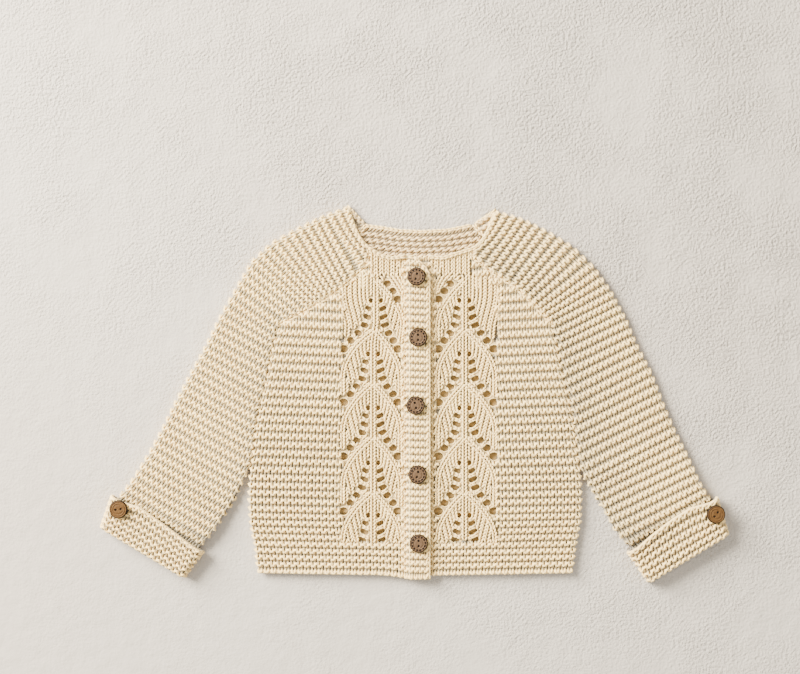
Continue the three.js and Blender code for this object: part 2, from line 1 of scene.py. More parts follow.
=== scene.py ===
# %% [markdown]
# # A hand-knitted baby cardigan, stitch by stitch
# The real object is one long yarn bent into rows of loops. From a step away the eye reads ridges,
# leaves and holes, and close up it reads the yarn itself. So the cloth is made as yarn: each row is a
# curve that waves through its loops, and Geometry Nodes give every curve its round body. Under the
# yarn lies a thin closed sheet, which stops light as the hidden half of each stitch does.

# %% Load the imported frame
import math

import bpy
import numpy as np
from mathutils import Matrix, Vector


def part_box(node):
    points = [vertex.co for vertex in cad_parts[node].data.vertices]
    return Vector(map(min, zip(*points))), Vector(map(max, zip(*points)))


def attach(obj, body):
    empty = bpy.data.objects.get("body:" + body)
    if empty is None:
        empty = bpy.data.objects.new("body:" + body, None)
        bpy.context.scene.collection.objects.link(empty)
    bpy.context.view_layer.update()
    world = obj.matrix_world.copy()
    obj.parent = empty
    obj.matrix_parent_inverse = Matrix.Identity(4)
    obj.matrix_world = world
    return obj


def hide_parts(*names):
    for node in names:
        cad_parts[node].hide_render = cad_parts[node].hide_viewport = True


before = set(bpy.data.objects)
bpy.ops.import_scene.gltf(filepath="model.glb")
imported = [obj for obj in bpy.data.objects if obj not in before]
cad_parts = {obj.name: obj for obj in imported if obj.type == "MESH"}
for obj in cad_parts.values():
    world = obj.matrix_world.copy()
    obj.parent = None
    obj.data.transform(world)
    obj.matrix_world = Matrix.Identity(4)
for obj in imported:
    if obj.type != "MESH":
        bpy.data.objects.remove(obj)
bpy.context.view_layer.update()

# %% [markdown]
# ## Sizes
# Every size below is in millimetres and is the one the solids were made with, so that the yarn lies
# where they do. Blender works in metres, so one helper turns millimetres into the frame's metres.

# %% Sizes shared with the solids
BAND_LEFT, BAND_RIGHT, BAND_LOW = -8.6, 12.3, -4.5
band_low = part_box("buttonhole_band")[0]
SHIFT = np.array([band_low[0] * 1000 - BAND_LEFT, band_low[1] * 1000 - BAND_LOW, 0.0])

BODY_ROWS = 80               # two rows of knitting make one garter ridge
BAND_ROWS = 92
BODY_STITCHES = 22           # across one front
YARN = 1.06                  # radius of the yarn
FRONT_MID = 4.3              # middle of the front's thickness, above the surface
BACK_MID = 1.9
BAND_MID = 7.4
CUFF_MID = 10.2
SEAM = 0.3                   # how far the edge of a panel stays from its seam

# Side fold of the body: height, distance from the middle
SIDE = np.array([[0.0, 130.0], [21.3, 132.4], [41.8, 136.5], [63.1, 137.4], [81.2, 136.5],
                 [100.9, 133.2], [121.4, 131.2], [142.7, 126.7], [163.2, 121.8], [188.6, 116.8]])
# Raglan seams of the fronts and of the back, and the inner edge of each sleeve: height, distance
RAGLAN = {
    "right": np.array([[203.4, 111.9], [217.3, 85.7], [228.0, 68.5], [239.4, 53.7], [250.1, 41.4],
                       [265.7, 37.3]]),
    "left": np.array([[203.4, 112.8], [217.3, 100.4], [235.3, 81.6], [247.6, 61.6], [258.3, 48.8],
                      [265.7, 48.0]]),
}
BACK_RAGLAN = {
    "right": np.array([[203.4, 111.9], [284.5, 40.6]]),
    "left": np.array([[203.4, 112.8], [285.4, 48.8]]),
}
INNER = {
    "right": np.array([[-1.6, 191.8], [18.9, 176.2], [37.7, 161.5], [59.0, 147.2], [81.2, 137.3]]),
    "left": np.array([[-5.7, 194.3], [18.1, 177.1], [36.1, 161.9], [59.0, 148.8], [79.2, 137.3]]),
}
# Sleeve rows, neck first: point on the shoulder fold, height of the row's end on the front seam and on
# the back seam, lift off the surface
SLEEVE = {
    "right": np.array([
        [55.3, 300.1, 265.7, 284.5, 0], [77.5, 291.9, 240.3, 270.6, 0],
        [98.0, 282.1, 229.2, 256.7, 0], [118.5, 270.6, 222.2, 243.5, 0],
        [134.9, 255.0, 215.7, 225.5, 0], [147.2, 233.7, 205.8, 205.8, 0],
        [161.5, 208.3, 183.7, 183.7, 0], [173.0, 184.5, 156.2, 156.2, 0],
        [185.3, 162.4, 130.4, 130.4, 0], [196.8, 140.6, 104.1, 104.1, 0],
        [207.0, 119.7, 80.4, 80.4, 0.1], [218.4, 98.4, 59.0, 59.0, 0.45],
        [231.0, 77.7, 38.5, 38.5, 0.95], [238.0, 68.0, 28.5, 28.5, 1],
        [245.3, 60.6, 18.9, 18.9, 1]]),
    "left": np.array([
        [66.0, 296.8, 265.7, 285.4, 0], [88.1, 290.3, 249.0, 270.6, 0],
        [108.6, 280.4, 238.0, 256.7, 0], [129.2, 268.1, 227.0, 241.9, 0],
        [147.2, 250.9, 216.0, 225.5, 0], [161.1, 231.2, 205.0, 205.0, 0],
        [172.6, 209.9, 182.9, 182.9, 0], [182.9, 186.1, 155.8, 155.8, 0],
        [194.8, 163.2, 128.7, 128.7, 0], [203.8, 139.4, 102.5, 102.5, 0],
        [213.2, 117.3, 78.0, 78.0, 0.1], [223.8, 96.0, 59.0, 59.0, 0.45],
        [233.4, 74.4, 38.5, 38.5, 0.95], [238.9, 65.0, 28.0, 28.0, 1],
        [244.4, 57.4, 18.1, 18.1, 1]]),
}
# Ridges from one of those rows to the next
SLEEVE_RIDGES = [3.4, 3.2, 3.0, 2.9, 3.3, 3.65, 3.65, 3.5, 3.4, 3.2, 3.3, 3.4, 1.7, 1.5]
# Height of the ridges on the body: tight near the hem, looser above
BODY_RIDGES = np.array([[0.0, 0.0], [4.0, 22.4], [9.0, 51.0], [14.0, 83.0], [20.0, 124.5], [26.0, 167.0],
                        [33.0, 217.0], [40.0, 265.7]])
# Free edge and fold of each cuff, outer and inner corner, and how far the free edge bows up
CUFF = {
    "right": {"free": ([245.3, 60.6], [176.2, 18.9]), "fold": ([254.3, 36.0], [191.8, -1.6]),
              "rise": [1.0, 6.5, 5.0, 2.5, 0.0]},
    "left": {"free": ([244.4, 57.4], [177.1, 18.1]), "fold": ([253.4, 30.3], [194.3, -5.7]),
             "rise": [3.0, 8.5, 8.0, 5.0, 0.5]},
}
# Neck edge of the fronts, and of the back from the right: distance from the middle, height
NECK = {
    "right": np.array([[8.6, 259.1], [18.9, 257.7], [27.5, 259.9], [37.3, 265.7]]),
    "left": np.array([[12.7, 258.7], [22.9, 257.7], [35.5, 261.9], [48.0, 265.7]]),
}
BACK_NECK = np.array([[-40.6, 284.5], [-27.5, 282.9], [-12.7, 280.4], [6.1, 279.6], [27.1, 280.8],
                      [37.3, 282.9], [48.8, 285.4]])
VEIN = {"right": 34.4, "left": 40.6}             # distance of the leaves' vein from the middle
INNER_EDGE = {"right": 8.9, "left": 12.7}        # distance of each front's edge beside the band
SIGN = {"right": -1.0, "left": 1.0}
UNDERARM, YOKE_TOP = 203.4, 265.7    # heights where the raglan seam starts and ends


def read(table, value, column=1):
    """One column of a table at a value of its first column"""
    order = np.argsort(table[:, 0])
    return np.interp(value, table[order, 0], table[order, column])


def metres(points):
    return (np.asarray(points, float) + SHIFT) * 0.001


def columns(*values):
    """Columns side by side, a bare number repeated all the way down"""
    return np.column_stack(np.broadcast_arrays(*values))


def even(size):
    """A rule that gives every row the same size"""
    return lambda row: np.full_like(np.asarray(row, float), size)


print("moved onto the packed frame by", SHIFT, "mm")


# %% [markdown]
# ## Shader helper
# A finish here is a few sums over the position on the yarn. A socket is wrapped so that the sums read
# as Python, and one method adds every other node.

# %% Shader helper
class Value:
    """A socket that can be added, subtracted and multiplied"""

    def __init__(self, paint, socket):
        self.paint, self.socket = paint, socket

    def maths(self, operation, *others):
        return self.paint.node("ShaderNodeMath", {"operation": operation}, [self, *others])

    def clamp(self, low=0.0, high=1.0):
        return self.maths("MINIMUM", high).maths("MAXIMUM", low)

    def __add__(self, other):
        return self.maths("ADD", other)

    def __mul__(self, other):
        return self.maths("MULTIPLY", other)

    def __sub__(self, other):
        return self.maths("SUBTRACT", other)

    def __rsub__(self, other):
        return self.paint.node("ShaderNodeMath", {"operation": "SUBTRACT"}, [other, self])


class Paint:
    """One material and its nodes"""

    def __init__(self, name):
        self.material = bpy.data.materials.new(name)
        self.material.use_nodes = True
        self.nodes = self.material.node_tree.nodes
        self.links = self.material.node_tree.links
        self.shader = self.nodes["Principled BSDF"]

    def node(self, kind, settings=None, inputs=(), output=0):
        made = self.nodes.new(kind)
        for name, value in (settings or {}).items():
            if name == "stops":
                ramp = made.color_ramp
                while len(ramp.elements) < len(value):
                    ramp.elements.new(0.5)
                for element, (place, colour) in zip(ramp.elements, value):
                    element.position, element.color = place, (*colour, 1.0)
            else:
                setattr(made, name, value)
        pairs = inputs.items() if isinstance(inputs, dict) else enumerate(inputs)
        for key, value in pairs:
            if isinstance(value, Value):
                self.links.new(value.socket, made.inputs[key])
            else:
                made.inputs[key].default_value = value
        return Value(self, made.outputs[output])

    def place(self):
        return self.node("ShaderNodeTexCoord", {}, (), 3)

    def stored(self, name, output=2):
        return self.node("ShaderNodeAttribute", {"attribute_name": name}, (), output)

    def x_and_y(self, vector):
        x = self.node("ShaderNodeSeparateXYZ", {}, [vector])
        return x, Value(self, x.socket.node.outputs[1])

    def noise(self, where, scale, detail=3.0):
        return self.node("ShaderNodeTexNoise", {}, {"Vector": where, "Scale": scale, "Detail": detail})

    def ramp(self, factor, stops):
        return self.node("ShaderNodeValToRGB", {"stops": stops}, [factor])

    def mix(self, factor, first, second):
        return self.node("ShaderNodeMix", {"data_type": "RGBA"}, {0: factor, 6: first, 7: second}, 2)

    def finish(self, colour, roughness, specular, height, distance, strength=1.0):
        """Feeds the surface shader and returns the material"""
        bump = self.node("ShaderNodeBump", {},
                         {"Strength": strength, "Distance": distance, "Height": height})
        for name, value in (("Base Color", colour), ("Roughness", roughness),
                            ("Specular IOR Level", specular), ("Normal", bump)):
            if isinstance(value, Value):
                self.links.new(value.socket, self.shader.inputs[name])
            else:
                self.shader.inputs[name].default_value = value
        return self.material


# %% [markdown]
# ## The yarn's finish
# The yarn is soft cream cotton and wool: matt, a little fuzzy, a touch darker in some stretches than
# in others. Two plies are twisted together, so a shallow groove winds along it. The groove is worked
# out from the length along the yarn and the place around it, which the yarn tool stores on the mesh.
# The groove also darkens the colour a little, as painted shade. Where the yarn lies back between loops
# or in a crease, a stored number mixes the colour towards a dark colour: painted shade.

# %% Yarn material
PLY_TURN = 0.0052            # metres of yarn in one turn of its plies


def yarn_finish(name, light, dark, shade_colour):
    paint = Paint(name)
    place = paint.place()
    along, around, front = paint.stored("along"), paint.stored("around", 1), paint.stored("front")
    cosine, sine = paint.x_and_y(around)
    turn = along * (2 * math.pi / PLY_TURN)
    twist = cosine * turn.maths("COSINE") + sine * turn.maths("SINE")
    patch = paint.noise(place, 38.0)
    fuzz = paint.noise(place, 2400.0, 2.0)
    # the groove's share of the tone is painted shade in the groove
    tone = patch * 0.6 + fuzz * 0.25 + twist * 0.07
    colour = paint.ramp(tone, [(0.25, dark), (0.62, light)])
    # painted shade: where the stored number is low, the colour is mixed towards the dark shade colour
    unshaded = (front * 1.3 - 0.04).clamp()
    paint.shader.inputs["Sheen Weight"].default_value = 0.2
    paint.shader.inputs["Sheen Roughness"].default_value = 0.5
    return paint.finish(paint.mix(unshaded, (*shade_colour, 1.0), colour), 0.85, 0.25,
                        twist * 0.5 + fuzz * 0.5, 0.0004, 0.8)


CREAM = yarn_finish("cream_yarn", (0.965, 0.712, 0.28), (0.86, 0.60, 0.228), (0.16, 0.148, 0.116))
SHADED = yarn_finish("shaded_yarn", (0.84, 0.61, 0.29), (0.68, 0.47, 0.21), (0.17, 0.14, 0.095))
print("yarn finishes:", CREAM.name, "and", SHADED.name, "for yarn in the shade")

# %% [markdown]
# The sheet under the yarn is what shows between the stitches. Little light reaches it, so its colour is
# painted shade: a dark grey brown, with the ridges of the knitting as a bump. Behind the lace holes the
# light has bounced many times inside cream yarn, so the back is painted a warm tan shade instead.

# %% Cloth under the yarn
def ground_finish(name, light, dark):
    paint = Paint(name)
    place = paint.place()
    ridge_height = (paint.x_and_y(place)[1] * (2 * math.pi / 0.0066)).maths("SINE")
    grain = paint.noise(place, 900.0)
    patch = paint.noise(place, 60.0)
    colour = paint.ramp(patch * 0.7 + grain * 0.4, [(0.3, dark), (0.75, light)])
    return paint.finish(colour, 0.95, 0.1, ridge_height * 0.6 + grain * 0.6, 0.0008, 0.7)


# painted shade: the dark colour between the stitches
GROUND = ground_finish("painted_shade_ground", (0.20, 0.165, 0.115), (0.13, 0.107, 0.075))
# painted shade: the warm tan seen through the lace holes
TAN_SHADE = ground_finish("painted_tan_shade", (0.41, 0.268, 0.1), (0.25, 0.158, 0.056))

# %% [markdown]
# The side that lies on the table is a plain sheet with low ridges. Its stitches are painted: each point
# of a sheet knows its row and its stitch, and a wave over those two numbers paints shade into the slots.

# %% Finish of the underside
def underside_finish():
    paint = Paint("cream_underside")
    crest = (paint.stored("row") * math.pi).maths("COSINE") * 0.5 + 0.5
    loop = (paint.stored("stitch") * (2 * math.pi)).maths("COSINE") * 0.5 + 0.5
    # painted shade in the slots between the ridges and between the loops
    slot_shade = (1.0 - crest) * (loop * 0.75 + 0.25)
    slot_shade = (slot_shade * slot_shade * 1.3).maths("MINIMUM", 0.9)
    grain = paint.noise(paint.place(), 900.0)
    colour = paint.ramp(grain, [(0.3, (0.82, 0.57, 0.23)), (0.7, (0.95, 0.69, 0.29))])
    return paint.finish(paint.mix(slot_shade, colour, (0.24, 0.18, 0.10, 1.0)), 0.9, 0.15,
                        crest * (1.0 - loop * 0.35) + grain * 0.15, 0.002)


UNDERSIDE = underside_finish()
print("sheet finishes:", GROUND.name, TAN_SHADE.name, UNDERSIDE.name)

# %% [markdown]
# ## The yarn tool
# A row of knitting is a line of points joined by edges. The tree turns it into a curve, gives it a
# round section, closes its ends and stores two attributes for the finish. A curve with a bevel would
# look the same, but the tree keeps the sizes as named inputs and stores what the plies need.

# %% Geometry Nodes tree for yarn
def yarn_tree():
    tree = bpy.data.node_groups.new("yarn_along_rows", "GeometryNodeTree")
    for name, way, kind in (("Geometry", "INPUT", "Geometry"), ("Yarn radius", "INPUT", "Float"),
                            ("Sides", "INPUT", "Int"), ("Finish", "INPUT", "Material"),
                            ("Geometry", "OUTPUT", "Geometry")):
        tree.interface.new_socket(name, in_out=way, socket_type="NodeSocket" + kind)

    def add(kind, inputs=None, output=0, **settings):
        """One node with its settings, then its values and links. Returns one of its outputs."""
        made = tree.nodes.new(kind)
        for name, value in settings.items():
            setattr(made, name, value)
        for name, value in (inputs or {}).items():
            if isinstance(value, bpy.types.NodeSocket):
                tree.links.new(value, made.inputs[name])
            else:
                made.inputs[name].default_value = value
        return made.outputs[output] if made.outputs else None

    start = add("NodeGroupInput").node.outputs
    rows = add("GeometryNodeMeshToCurve", {"Mesh": start["Geometry"]})
    length = add("GeometryNodeSplineParameter", output="Length")
    rows = add("GeometryNodeStoreNamedAttribute", {"Name": "along", "Geometry": rows, "Value": length},
               data_type="FLOAT")
    ring = add("GeometryNodeCurvePrimitiveCircle",
               {"Resolution": start["Sides"], "Radius": start["Yarn radius"]})
    around = add("ShaderNodeVectorMath", {0: add("GeometryNodeInputPosition")}, operation="NORMALIZE")
    ring = add("GeometryNodeStoreNamedAttribute", {"Name": "around", "Geometry": ring, "Value": around},
               data_type="FLOAT_VECTOR")
    body = add("GeometryNodeCurveToMesh", {"Fill Caps": True, "Curve": rows, "Profile Curve": ring})
    body = add("GeometryNodeSetShadeSmooth", {"Geometry": body})
    body = add("GeometryNodeRealizeInstances", {"Geometry": body})
    body = add("GeometryNodeSetMaterial", {"Geometry": body, "Material": start["Finish"]})
    add("NodeGroupOutput", {"Geometry": body})
    print("yarn tree of", len(tree.nodes), "nodes")
    return tree


YARN_TREE = yarn_tree()


# %% [markdown]
# A strand reaches the tree as loose points and edges.

# %% Winding a piece
def settle(obj):
    """Turns the object's modifiers into plain mesh"""
    bpy.context.view_layer.update()
    seen = obj.evaluated_get(bpy.context.evaluated_depsgraph_get())
    mesh = bpy.data.meshes.new_from_object(seen)
    obj.modifiers.clear()
    obj.data = mesh
    mesh.name = obj.name
    return obj


def quads(rows, across, ring=False):
    """Faces of a grid of points. On a ring each row's two ends are joined."""
    return [(a + j, a + (j + 1) % across, a + across + (j + 1) % across, a + across + j)
            for a in range(0, (rows - 1) * across, across) for j in range(across if ring else across - 1)]


def new_object(name, points, edges=(), faces=()):
    mesh = bpy.data.meshes.new(name)
    mesh.from_pydata([tuple(p) for p in metres(points)], list(edges), list(faces))
    mesh.update()
    obj = bpy.data.objects.new(name, mesh)
    bpy.context.scene.collection.objects.link(obj)
    return obj


pieces = {}


def wind_yarn(name, strands, radius=YARN, finish=CREAM, sides=5):
    """One piece of yarn work from its strands. A strand is a line of points with a fourth number, 1 where
    the yarn stands in front and 0 where it lies back, and lowered in creases. The finish paints shade by
    it."""
    points = np.concatenate(strands)
    edges, first = [], 0
    for strand in strands:
        last = first + len(strand)
        edges += [(i, i + 1) for i in range(first, last - 1)]
        first = last
    obj = new_object(name, points[:, :3], edges)
    front = obj.data.attributes.new("front", "FLOAT", "POINT")
    front.data.foreach_set("value", np.clip(points[:, 3], 0, 1).astype(np.float32))
    modifier = obj.modifiers.new("Yarn", "NODES")
    modifier.node_group = YARN_TREE
    values = {"Yarn radius": radius * 0.001, "Sides": sides, "Finish": finish}
    for item in YARN_TREE.interface.items_tree:
        if item.in_out == "INPUT" and item.name in values:
            modifier[item.identifier] = values[item.name]
    settle(obj)
    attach(obj, "root")
    pieces[name] = obj
    print(name, len(strands), "strands,", len(obj.data.polygons), "faces")


# %% [markdown]
# ## A cloth to knit on
# Each panel is a stack of rows. A row runs straight from one end to the other, and at an end it may
# roll over, as the cloth does at a side fold or a shoulder. The roll is a small arc, so a length of
# cloth measured from the edge gives the place, the drop and the lean of the surface there.

# %% Cloth that rolls at its ends
def roll(length, radius, turn):
    angle = np.clip(turn - length / radius, 0.0, turn)
    flat = np.maximum(length - radius * turn, 0.0)
    inset = YARN + radius * (1.0 - np.sin(angle)) + flat
    return inset, radius * (1.0 - np.cos(angle)), angle


class Cloth:
    """Rows from a first end to a last end. Each end has a radius and an angle of roll."""

    def __init__(self, first, last, level, first_roll=(1, 0), last_roll=(1, 0), bend=None):
        self.first, self.last, self.level, self.bend = first, last, level, bend
        self.first_roll, self.last_roll = first_roll, last_roll

    def width(self, row):
        """Length of cloth along a row, its rolled ends counted"""
        a, b = self.first(row), self.last(row)
        total = np.hypot(*(b - a).T)
        for radius, turn in (self.first_roll, self.last_roll):
            total = total + (radius * turn - radius - YARN if turn else 0.0)
        return total

    def long(self, row):
        """Length of cloth along one row"""
        return self.width(np.array([float(row)]))[0]

    def at(self, row, length, out=0.0):
        """Points at lengths of cloth from the first end, moved out from the cloth's middle"""
        row, length = np.broadcast_arrays(np.asarray(row, float), np.asarray(length, float))
        a, b = self.first(row), self.last(row)
        across = b - a
        reach = np.hypot(*across.T)
        across = across / reach[:, None]
        rest = self.width(row) - length
        inset, drop, tilt = np.array(length), np.zeros_like(length), np.zeros_like(length)
        radius, turn = self.first_roll
        if turn:
            inset, drop, tilt = roll(length, radius, turn)
            tilt = -tilt
        radius, turn = self.last_roll
        if turn:
            far_inset, far_drop, far_tilt = roll(rest, radius, turn)
            near = rest < radius * turn
            inset = np.where(near, reach - far_inset, inset)
            drop = np.where(near, far_drop, drop)
            tilt = np.where(near, far_tilt, tilt)
        out = np.broadcast_to(out, length.shape)
        side = inset + np.sin(tilt) * out
        height = self.level(row) - drop + np.cos(tilt) * out
        points = np.column_stack([a + across * side[:, None], np.maximum(height, YARN + 0.05)])
        if self.bend is not None:
            points[:, :2] += self.bend(row, points[:, 0], points[:, 1])
        return points


# %% [markdown]
# ## Garter stitch
# In garter stitch every row is knitted, which from one face looks like a knit row, then a purl row.
# The loops of one row lean forward at the top and those of the next lean forward at the foot. Where
# they meet they make a ridge of small bumps, and between two ridges the yarn dives back.

# %% Strands of garter stitch
STEPS = 8                    # points on each stitch
LOOP = 0.93                  # half height of a loop, in rows
BULGE = 0.10                 # how far a loop is wider than its neck, in stitches
DEPTH = 1.25                 # how far a loop leans forward or back, in millimetres
WAVER = 0.05                 # how unevenly the stitches are pulled, in rows
rng = np.random.default_rng(7)


def lean(angle):
    """Forward at one end of a loop and back at the other, with a quick dive between"""
    return np.tanh(1.5 * np.cos(angle)) / math.tanh(1.5)


def garter_row(cloth, row, stop, gauge):
    """One strand: a row of loops up to the stitch number stop. gauge(row) is a stitch's width."""
    count = max(int(round(stop * STEPS)), 4)
    u = np.linspace(0.0, stop, count + 1)
    angle = 2 * np.pi * u
    face = 1.0 if row % 2 == 0 else -1.0
    stitches = np.arange(math.ceil(stop) + 2)
    nudge = np.interp(u, stitches, rng.normal(0, WAVER, len(stitches)))
    v = row + (LOOP + nudge) * np.cos(angle)
    across = (u + BULGE * np.sin(2 * angle) + 0.5 * nudge) * gauge(v)
    out = face * DEPTH * lean(angle) + 0.8 * nudge
    # painted shade: the number falls where a loop leans back
    front = 0.5 + 0.5 * face * lean(angle)
    return np.column_stack([cloth.at(v, across, out), front])


def cast_on(cloth, gauge, row=0.35):
    """The first row: a strand that lies along the lower edge under the feet of the loops"""
    across = np.arange(0, cloth.long(row), gauge(row) / STEPS)
    wave = 2 * np.pi * across / gauge(row)
    strands = []
    for turn in (0.0, np.pi):
        v = row + 0.22 * np.cos(wave + turn)
        points = cloth.at(v, across, 0.35 * np.sin(wave + turn))
        # painted shade: the number falls where the strand dips back
        strands.append(np.column_stack([points, 0.75 + 0.25 * np.sin(wave + turn)]))
    return strands


def split(strand, keep):
    """The stretches of a strand where keep is true, those of three points and fewer left out"""
    found, current = [], []
    for point, wanted in zip(strand, keep):
        if wanted:
            current.append(point)
        elif current:
            found.append(np.array(current))
            current = []
    if current:
        found.append(np.array(current))
    return [stretch for stretch in found if len(stretch) > 3]


# %% [markdown]
# ## The sheet under the yarn
# A grid over the same cloth, a little lower, given a wall by Solidify. Where the lace has a hole, the
# grid's faces are left out, so the wall closes round the hole.

# %% Closed sheet under a panel
SHEET_WALL = 0.0009          # metres
LOOKS_DOWN = -0.2            # a face whose normal dips below this is seen from below


def ridge(row, height):
    """Relief of garter ridges, two rows to a ridge"""
    return height * (0.5 + 0.5 * math.cos(math.pi * row))


def mark_stitches(obj, grid, rows, stitch=4.8):
    """Stores on each point its row of knitting and its number of stitches from the first end"""
    steps = np.linalg.norm(np.diff(grid, axis=1), axis=2)
    along = np.concatenate([np.zeros((len(grid), 1)), np.cumsum(steps, axis=1)], axis=1) / stitch
    for name, values in (("row", np.repeat(np.asarray(rows, float), grid.shape[1])),
                         ("stitch", along.ravel())):
        mark = obj.data.attributes.new(name, "FLOAT", "POINT")
        mark.data.foreach_set("value", values.astype(np.float32))


def wall_from(name, node, grid, rows, ring=False, top=0, hole=None, finish=GROUND, under=False):
    """A closed wall through rows of points. A ring joins each row's ends, and top is a point of the
    rows that looks up. With under, the faces that look down get the finish of the underside."""
    grid = np.array(grid)
    points = grid.reshape(-1, 3)
    faces = quads(*grid.shape[:2], ring)
    if hole is not None:
        gone = hole(points[np.array(faces)].mean(axis=1))
        faces = [face for face, left_out in zip(faces, gone) if not left_out]
    if np.cross(grid[0, top + 1] - grid[0, top], grid[1, top] - grid[0, top])[2] < 0:
        faces = [face[::-1] for face in faces]
    obj = new_object(name, points, (), faces)
    mark_stitches(obj, grid, rows)
    solid = obj.modifiers.new("Wall", "SOLIDIFY")
    solid.thickness, solid.offset = SHEET_WALL, -1.0
    settle(obj)
    obj.data.materials.append(finish)
    if under:
        obj.data.materials.append(UNDERSIDE)
        for polygon in obj.data.polygons:
            polygon.material_index = int(polygon.normal[2] < LOOKS_DOWN)
    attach(obj, "root")
    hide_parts(node)
    pieces[name] = obj
    print(name, len(obj.data.polygons), "faces")


def ground_sheet(name, node, cloth, rows, across, out, relief=0.0, **more):
    """The wall under a flat panel, moved out from the middle of its cloth"""
    grid = [cloth.at(row, np.linspace(0, cloth.long(row), across), out + ridge(row, relief))
            for row in rows]
    wall_from(name, node, grid, rows, **more)
    for polygon in pieces[name].data.polygons:
        polygon.use_smooth = True


# %% [markdown]
# ## The lace plan
# Each front has a column of leaves. A leaf hangs from its tip: its edge is an arch that leaves the
# vein, swings out and falls straight. Under each tip's shoulders a line of holes fans down and out.
# The same few numbers place the stitches, the holes and the bars between the holes.

# %% Arches, holes and columns of one lace panel
TIPS = [241.9, 201.3, 157.4, 113.2, 68.1, 25.0]      # heights, the last one hidden by the hem
LACE_TOP, LACE_BOTTOM = 244.4, 24.6
# Below a tip: how far down, how far the arch stands from the vein
ARCH = np.array([[0.0, 1.0], [3.5, 4.5], [6.7, 8.2], [11.2, 12.7], [14.9, 16.0], [22.4, 21.4], [29.0, 24.9],
                 [35.8, 26.6], [41.0, 27.0], [70.0, 27.0]])
BAND_SHARE = 0.9             # on the band's side the leaves are a little narrower
LINE_STEP = 0.7              # from point to point of a line that stitches follow
# Holes: height above the next tip, distance from the vein away from the band and towards it, width,
# height, slant with the outer end higher
HOLES = np.array([
    [21.8, 4.1, 4.5, 3.2, 3.4, 0.4], [15.3, 6.1, 5.8, 5.4, 3.7, 0.45], [8.4, 7.0, 6.3, 6.8, 3.8, 0.45],
    [1.7, 9.1, 7.7, 6.9, 3.9, 0.3], [-4.9, 13.5, 11.6, 6.0, 4.6, 0.2], [-11.0, 18.5, 16.4, 6.0, 5.0, 0.1],
    [-17.9, 24.2, 21.4, 7.0, 5.6, 0.0],
])
RAY_SLANT = [26, 24, 24, 34, 52, 66]    # degrees, of the bars between those holes
# How many degrees a column leans out, at heights above the next tip
COLUMN_LEAN = ([-18, -6, 4, 16, 24, 30], [0, 1, 13, 15, 6, 0])
LOOSE = 0.4                  # how far the yarn stands back from each hole, in millimetres
ARCH_INSIDE, ARCH_OUTSIDE = 2.1, 1.6    # the two firm lines beside an arch, from the arch


def vein_at(side, y):
    """Distance of the vein from the middle. On the right front it leans in near the yoke."""
    lean_in = 2.3 * np.clip((np.asarray(y, float) - 188) / 17, 0, 1) if side == "right" else 0.0
    return VEIN[side] - lean_in


def lace_holes(side):
    """Rows of distance from the middle, height, width of the hole, height of the hole, slant"""
    found = []
    for tip in range(-1, len(TIPS) - 1):
        for k, (above, out, near, w, h, slant) in enumerate(HOLES):
            y = TIPS[tip + 1] + above
            vein = float(vein_at(side, y)) if tip >= 0 else VEIN[side]
            for way in (1, -1):
                if y < LACE_BOTTOM + 1 or (tip == -1 and (way > 0 or k < 4)):
                    continue
                if tip == len(TIPS) - 2 and k > 3:
                    continue
                d = max(vein + (out if way > 0 else -near), INNER_EDGE[side] + 1.6 + w / 2)
                found.append([d, y, w, h, way * slant])
    return np.array(found)


def in_holes(side, d, y, grow=0.0):
    gone = np.zeros(len(d), bool)
    for hd, hy, w, h, slant in lace_holes(side):
        u = (d - hd) * math.cos(slant) + (y - hy) * math.sin(slant)
        v = -(d - hd) * math.sin(slant) + (y - hy) * math.cos(slant)
        gone |= (u / (w / 2 + grow + LOOSE)) ** 2 + (v / (h / 2 + grow + LOOSE)) ** 2 < 1
    return gone


def lace_half(y):
    """Half width of the lace at a height: the garter comes in to meet each arch"""
    half = np.full_like(y, 27.1)
    for height in TIPS[:-1]:
        below = height - y
        shoulder = (below > 20.5) & (below < 44)
        half = np.where(shoulder, np.minimum(half, read(ARCH, below) + 0.9), half)
    return half


def lace_top(away):
    """Upper edge of the lace: beyond 8 mm from the vein it falls away towards the raglan"""
    return LACE_TOP - 0.42 * np.maximum(away - 8, 0)


def in_lace(side, d, y):
    away = d - vein_at(side, y)
    share = np.where(away > 0, 1.0, BAND_SHARE)
    high = (y > LACE_BOTTOM + 1.2) & (y < lace_top(away) - 1.8)
    return high & (np.abs(away) < lace_half(y) * share - 0.5)


print(len(lace_holes("right")), "and", len(lace_holes("left")), "holes in the two lace panels")


# %% [markdown]
# ## One knit stitch of the lace
# In the leaves only the knit face shows, so a stitch is a V: two legs that leave the foot of the
# stitch above, come forward and dive together behind the stitch below. One V is set on each place of
# a column and turned to the way the column runs.

# %% V stitches along a column
LEG = np.array([[0.39, 0.84, -1.1], [0.37, 0.62, -0.2], [0.33, 0.38, 0.4], [0.265, 0.12, 0.6],
                [0.20, -0.14, 0.4], [0.13, -0.36, -0.2], [0.0, -0.54, -1.1]])
VEE = np.concatenate([LEG, (LEG * [-1, 1, 1])[-2::-1]])
KNIT_RISE = 2.75             # from one V to the next


def lengths_along(line):
    """Distance of each point of a line from its start"""
    return np.concatenate([[0], np.cumsum(np.hypot(*np.diff(line[:, :2], axis=0).T))])


def point_at(line, along, place):
    return np.array([np.interp(place, along, column) for column in line.T])


